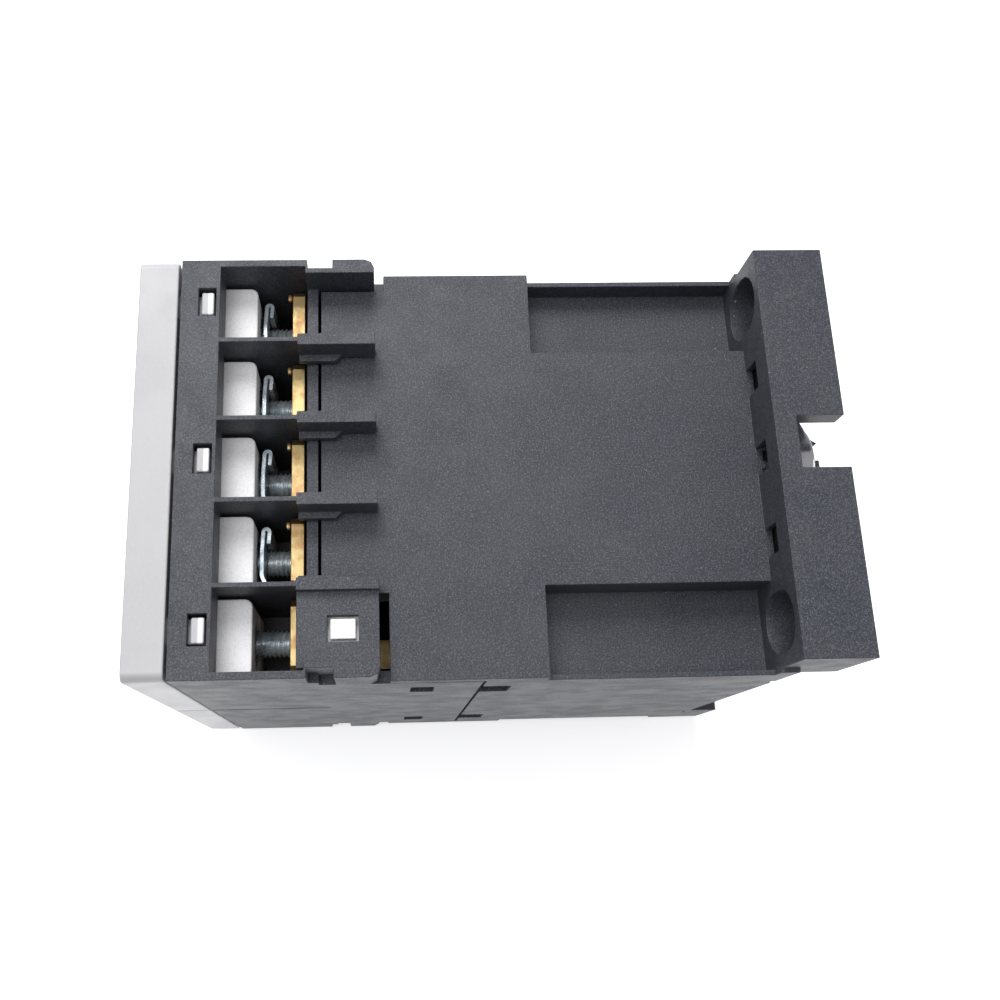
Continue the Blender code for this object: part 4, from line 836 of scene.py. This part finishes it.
@dataclass
class CoilSpring:
    """A compression spring along Y with closed ends."""

    shop: Workshop
    node: str
    wire: float
    turns: float

    def build(self, joint: str, anchor: Point, keep: float) -> None:
        """Wind the spring.

        The centre line is a helix about Y. Its climb is part even and part a smooth step, so that
        it is slower at both ends.

        Args:
            joint: joint that presses on it. Not used.
            anchor: point at its fixed end. Not used.
            keep: share of its length that is left at the joint's limit. Not used.
        """
        low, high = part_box(self.node)
        centre = middle(self.node)
        share = np.linspace(0, 1, round(self.turns * 22))
        climb = 0.62 * share + 0.38 * smooth_step(share)
        angle = 2 * np.pi * (self.turns + 1.0) * share
        mean = (high.z - low.z) / 2 - self.wire
        path = np.stack([
            centre.x + mean * np.cos(angle),
            low.y + self.wire + (high.y - low.y - 2 * self.wire) * climb,
            centre.z + mean * np.sin(angle),
        ], -1)
        piece = self.shop.surface(f"{self.node}_wound", tube(path, self.wire), closed=False)
        self.shop.mount(piece, self.node, Finish.SPRING)
        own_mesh(piece)


@dataclass
class Magnet:
    """Core, armature, shading rings, bobbin, winding and return springs."""

    shop: Workshop
    wire: float = 0.36 * MM
    corner: float = 3.0 * MM
    bobbin_half: float = 7.0 * MM
    iron_edge: float = 0.12 * MM
    edge: float = 0.15 * MM
    ring_edge: float = 0.1 * MM
    return_wire: float = 0.25 * MM
    return_turns: float = 4.5

    def build(self) -> None:
        """Dress the magnet's parts, and wind the coil and the return springs."""
        for node in ("magnet_core", "armature"):
            self.shop.soften(node, Finish.IRON, self.iron_edge)
        self.shop.soften("armature_pin", Finish.SPRING, self.edge)
        self.shop.soften("core_pad", Finish.PAD, self.edge)
        self.shop.soften("coil_bobbin", Finish.BOBBIN, self.edge)
        for end in ("upper", "lower"):
            self.shop.soften(f"shading_ring_{end}", Finish.COPPER, self.ring_edge)
        self.wind()
        slide = next(joint for joint in frame["joints"] if joint["name"] == "carrier_slide")
        travel = slide["range_m"][1]
        for side in ("left", "right"):
            spring = CoilSpring(self.shop, f"return_spring_{side}", self.return_wire,
                                self.return_turns)
            low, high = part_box(spring.node)
            length = high.y - low.y
            spring.build(slide["name"], (high.x, high.y, 0.0), (length - travel) / length)

    def wind(self) -> None:
        """Wind the coil.

        A section is carried round a rounded rectangle. Its outer side is a row of bulges, one for
        each turn of wire, that follow a sine to the power 0.7. Its inner side is straight.
        """
        node = "coil_winding"
        low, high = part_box(node)
        centre = middle(node)
        count = int((high.y - low.y) / self.wire)
        step = np.linspace(0, 1, count * 8 + 1)
        bulge = self.wire / 2 * np.abs(np.sin(np.pi * step * count)) ** 0.7
        outer = np.stack([bulge - self.wire / 2, low.y + (high.y - low.y) * step], -1)
        depth = (high.z - low.z) / 2 - self.bobbin_half
        inner = np.stack([np.full(2, -depth), np.array([high.y, low.y])], -1)
        section = np.vstack([outer, inner])
        half_x, half_z = (high.x - low.x) / 2, (high.z - low.z) / 2
        turn = np.linspace(0, 2 * np.pi, 96, endpoint=False)
        cos, sin = np.cos(turn), np.sin(turn)
        corner_x = np.sign(cos) * (half_x - self.corner)
        corner_z = np.sign(sin) * (half_z - self.corner)
        reach = np.broadcast_to(self.corner + section[None, :, 0], (len(turn), len(section)))
        points = np.stack([
            centre.x + corner_x[:, None] + reach * cos[:, None],
            np.broadcast_to(section[None, :, 1], reach.shape),
            centre.z + corner_z[:, None] + reach * sin[:, None],
        ], -1)
        piece = self.shop.surface(f"{node}_turns", points, closed=True)
        self.shop.mount(piece, node, Finish.COPPER)


# ---------------------------------------------------------------- stage


@dataclass
class Studio:
    """Pale floor, soft lights and the camera."""

    floor_colour: Colour = (0.93, 0.93, 0.94)
    floor_radius: float = 1.6
    floor_glow: float = 0.55
    sky: float = 0.33
    aim: Point = (0.0, -0.03, 0.0)
    azimuth: float = 82.11
    elevation: float = 73.82
    roll: float = 6.68
    eye: Point = (35.21 * MM, -42.55 * MM, 130.41 * MM)
    lens: float = 37.81
    shift: tuple[float, float] = (0.0815, 0.0116)

    def build(self) -> None:
        """Set the floor, the lights and the camera."""
        self.floor()
        self.lights()
        self.camera()
        bpy.context.scene.view_settings.view_transform = "Standard"

    def floor(self) -> None:
        """Lay a wide disc under the relay: rings of points whose radii grow evenly."""
        rings, sides = 6, 64
        turn = np.linspace(0, 2 * np.pi, sides, endpoint=False)
        radii = np.linspace(0.0, self.floor_radius, rings)[:, None]
        height = np.full((rings, sides), cad_bounds[0].z)
        points = np.stack([radii * np.cos(turn), radii * np.sin(turn), height], -1)
        index = np.arange(rings * sides).reshape(rings, sides)
        inner, outer = index[:-1], index[1:]
        quads = np.stack([inner, outer, np.roll(outer, -1, 1), np.roll(inner, -1, 1)], -1)
        mesh = bpy.data.meshes.new("floor")
        mesh.from_pydata(points.reshape(-1, 3).tolist(), [], quads.reshape(-1, 4).tolist())
        piece = link("floor", mesh)
        shader = Shader("floor_paper")
        tone = shader.noise(40 * MM, 2.0).between(0.3, 0.7, 0.46, 0.5)
        mesh.materials.append(shader.finish(
            Base_Color=self.floor_colour, Roughness=tone, Emission_Color=self.floor_colour,
            Emission_Strength=self.floor_glow))

    def lights(self) -> None:
        """Hang four soft lamps over the relay and fill the rest with a pale sky."""
        # name, place, diameter, power in watts
        lamps = (
            ("key", (-0.5, -0.15, 0.55), 0.45, 4.4),
            ("top", (0.02, -0.24, 0.72), 0.5, 1.9),
            ("fill", (0.6, -0.15, 0.16), 0.35, 0.02),
            ("rear", (0.1, 0.6, 0.5), 0.4, 0.8),
        )
        for name, place, size, power in lamps:
            lamp = bpy.data.lights.new(name, "AREA")
            lamp.shape = "DISK"
            lamp.size = size
            lamp.energy = power
            light = link(name, lamp)
            light.location = place
            line = Vector(self.aim) - light.location
            light.rotation_euler = line.to_track_quat("-Z", "Y").to_euler()
        world = bpy.data.worlds.new("sky")
        world.use_nodes = True
        background = world.node_tree.nodes["Background"]
        background.inputs["Color"].default_value = (1.0, 1.0, 1.0, 1.0)
        background.inputs["Strength"].default_value = self.sky
        bpy.context.scene.world = world

    def camera(self) -> None:
        """Place the camera by its azimuth, elevation and roll about the line of sight."""
        a, e, r = (math.radians(angle) for angle in (self.azimuth, self.elevation, self.roll))
        back = Vector((math.sin(a) * math.cos(e), -math.cos(a) * math.cos(e), math.sin(e)))
        right = (-back).cross(Vector((0, 0, 1))).normalized()
        up = right.cross(-back)
        across = right * math.cos(r) + up * math.sin(r)
        rise = up * math.cos(r) - right * math.sin(r)
        data = bpy.data.cameras.new("camera")
        data.lens = self.lens
        data.shift_x, data.shift_y = self.shift
        data.clip_start = 0.005
        item = link("camera", data)
        turn = Matrix((across, rise, back)).transposed()
        item.matrix_world = Matrix.Translation(self.eye) @ turn.to_4x4()
        bpy.context.scene.camera = item


def main() -> None:
    """Build the relay's looks and the stage."""
    logging.basicConfig(level=logging.INFO, format="%(message)s")
    for item in ("Cube", "Light", "Camera"):
        if item in bpy.data.objects:
            bpy.data.objects.remove(bpy.data.objects[item])
    shop = Workshop(Palette())
    for assembly in (Housing, Terminals, RailLeaf, ContactSet, Magnet):
        assembly(shop).build()
    Studio().build()


if __name__ == "__main__":
    main()
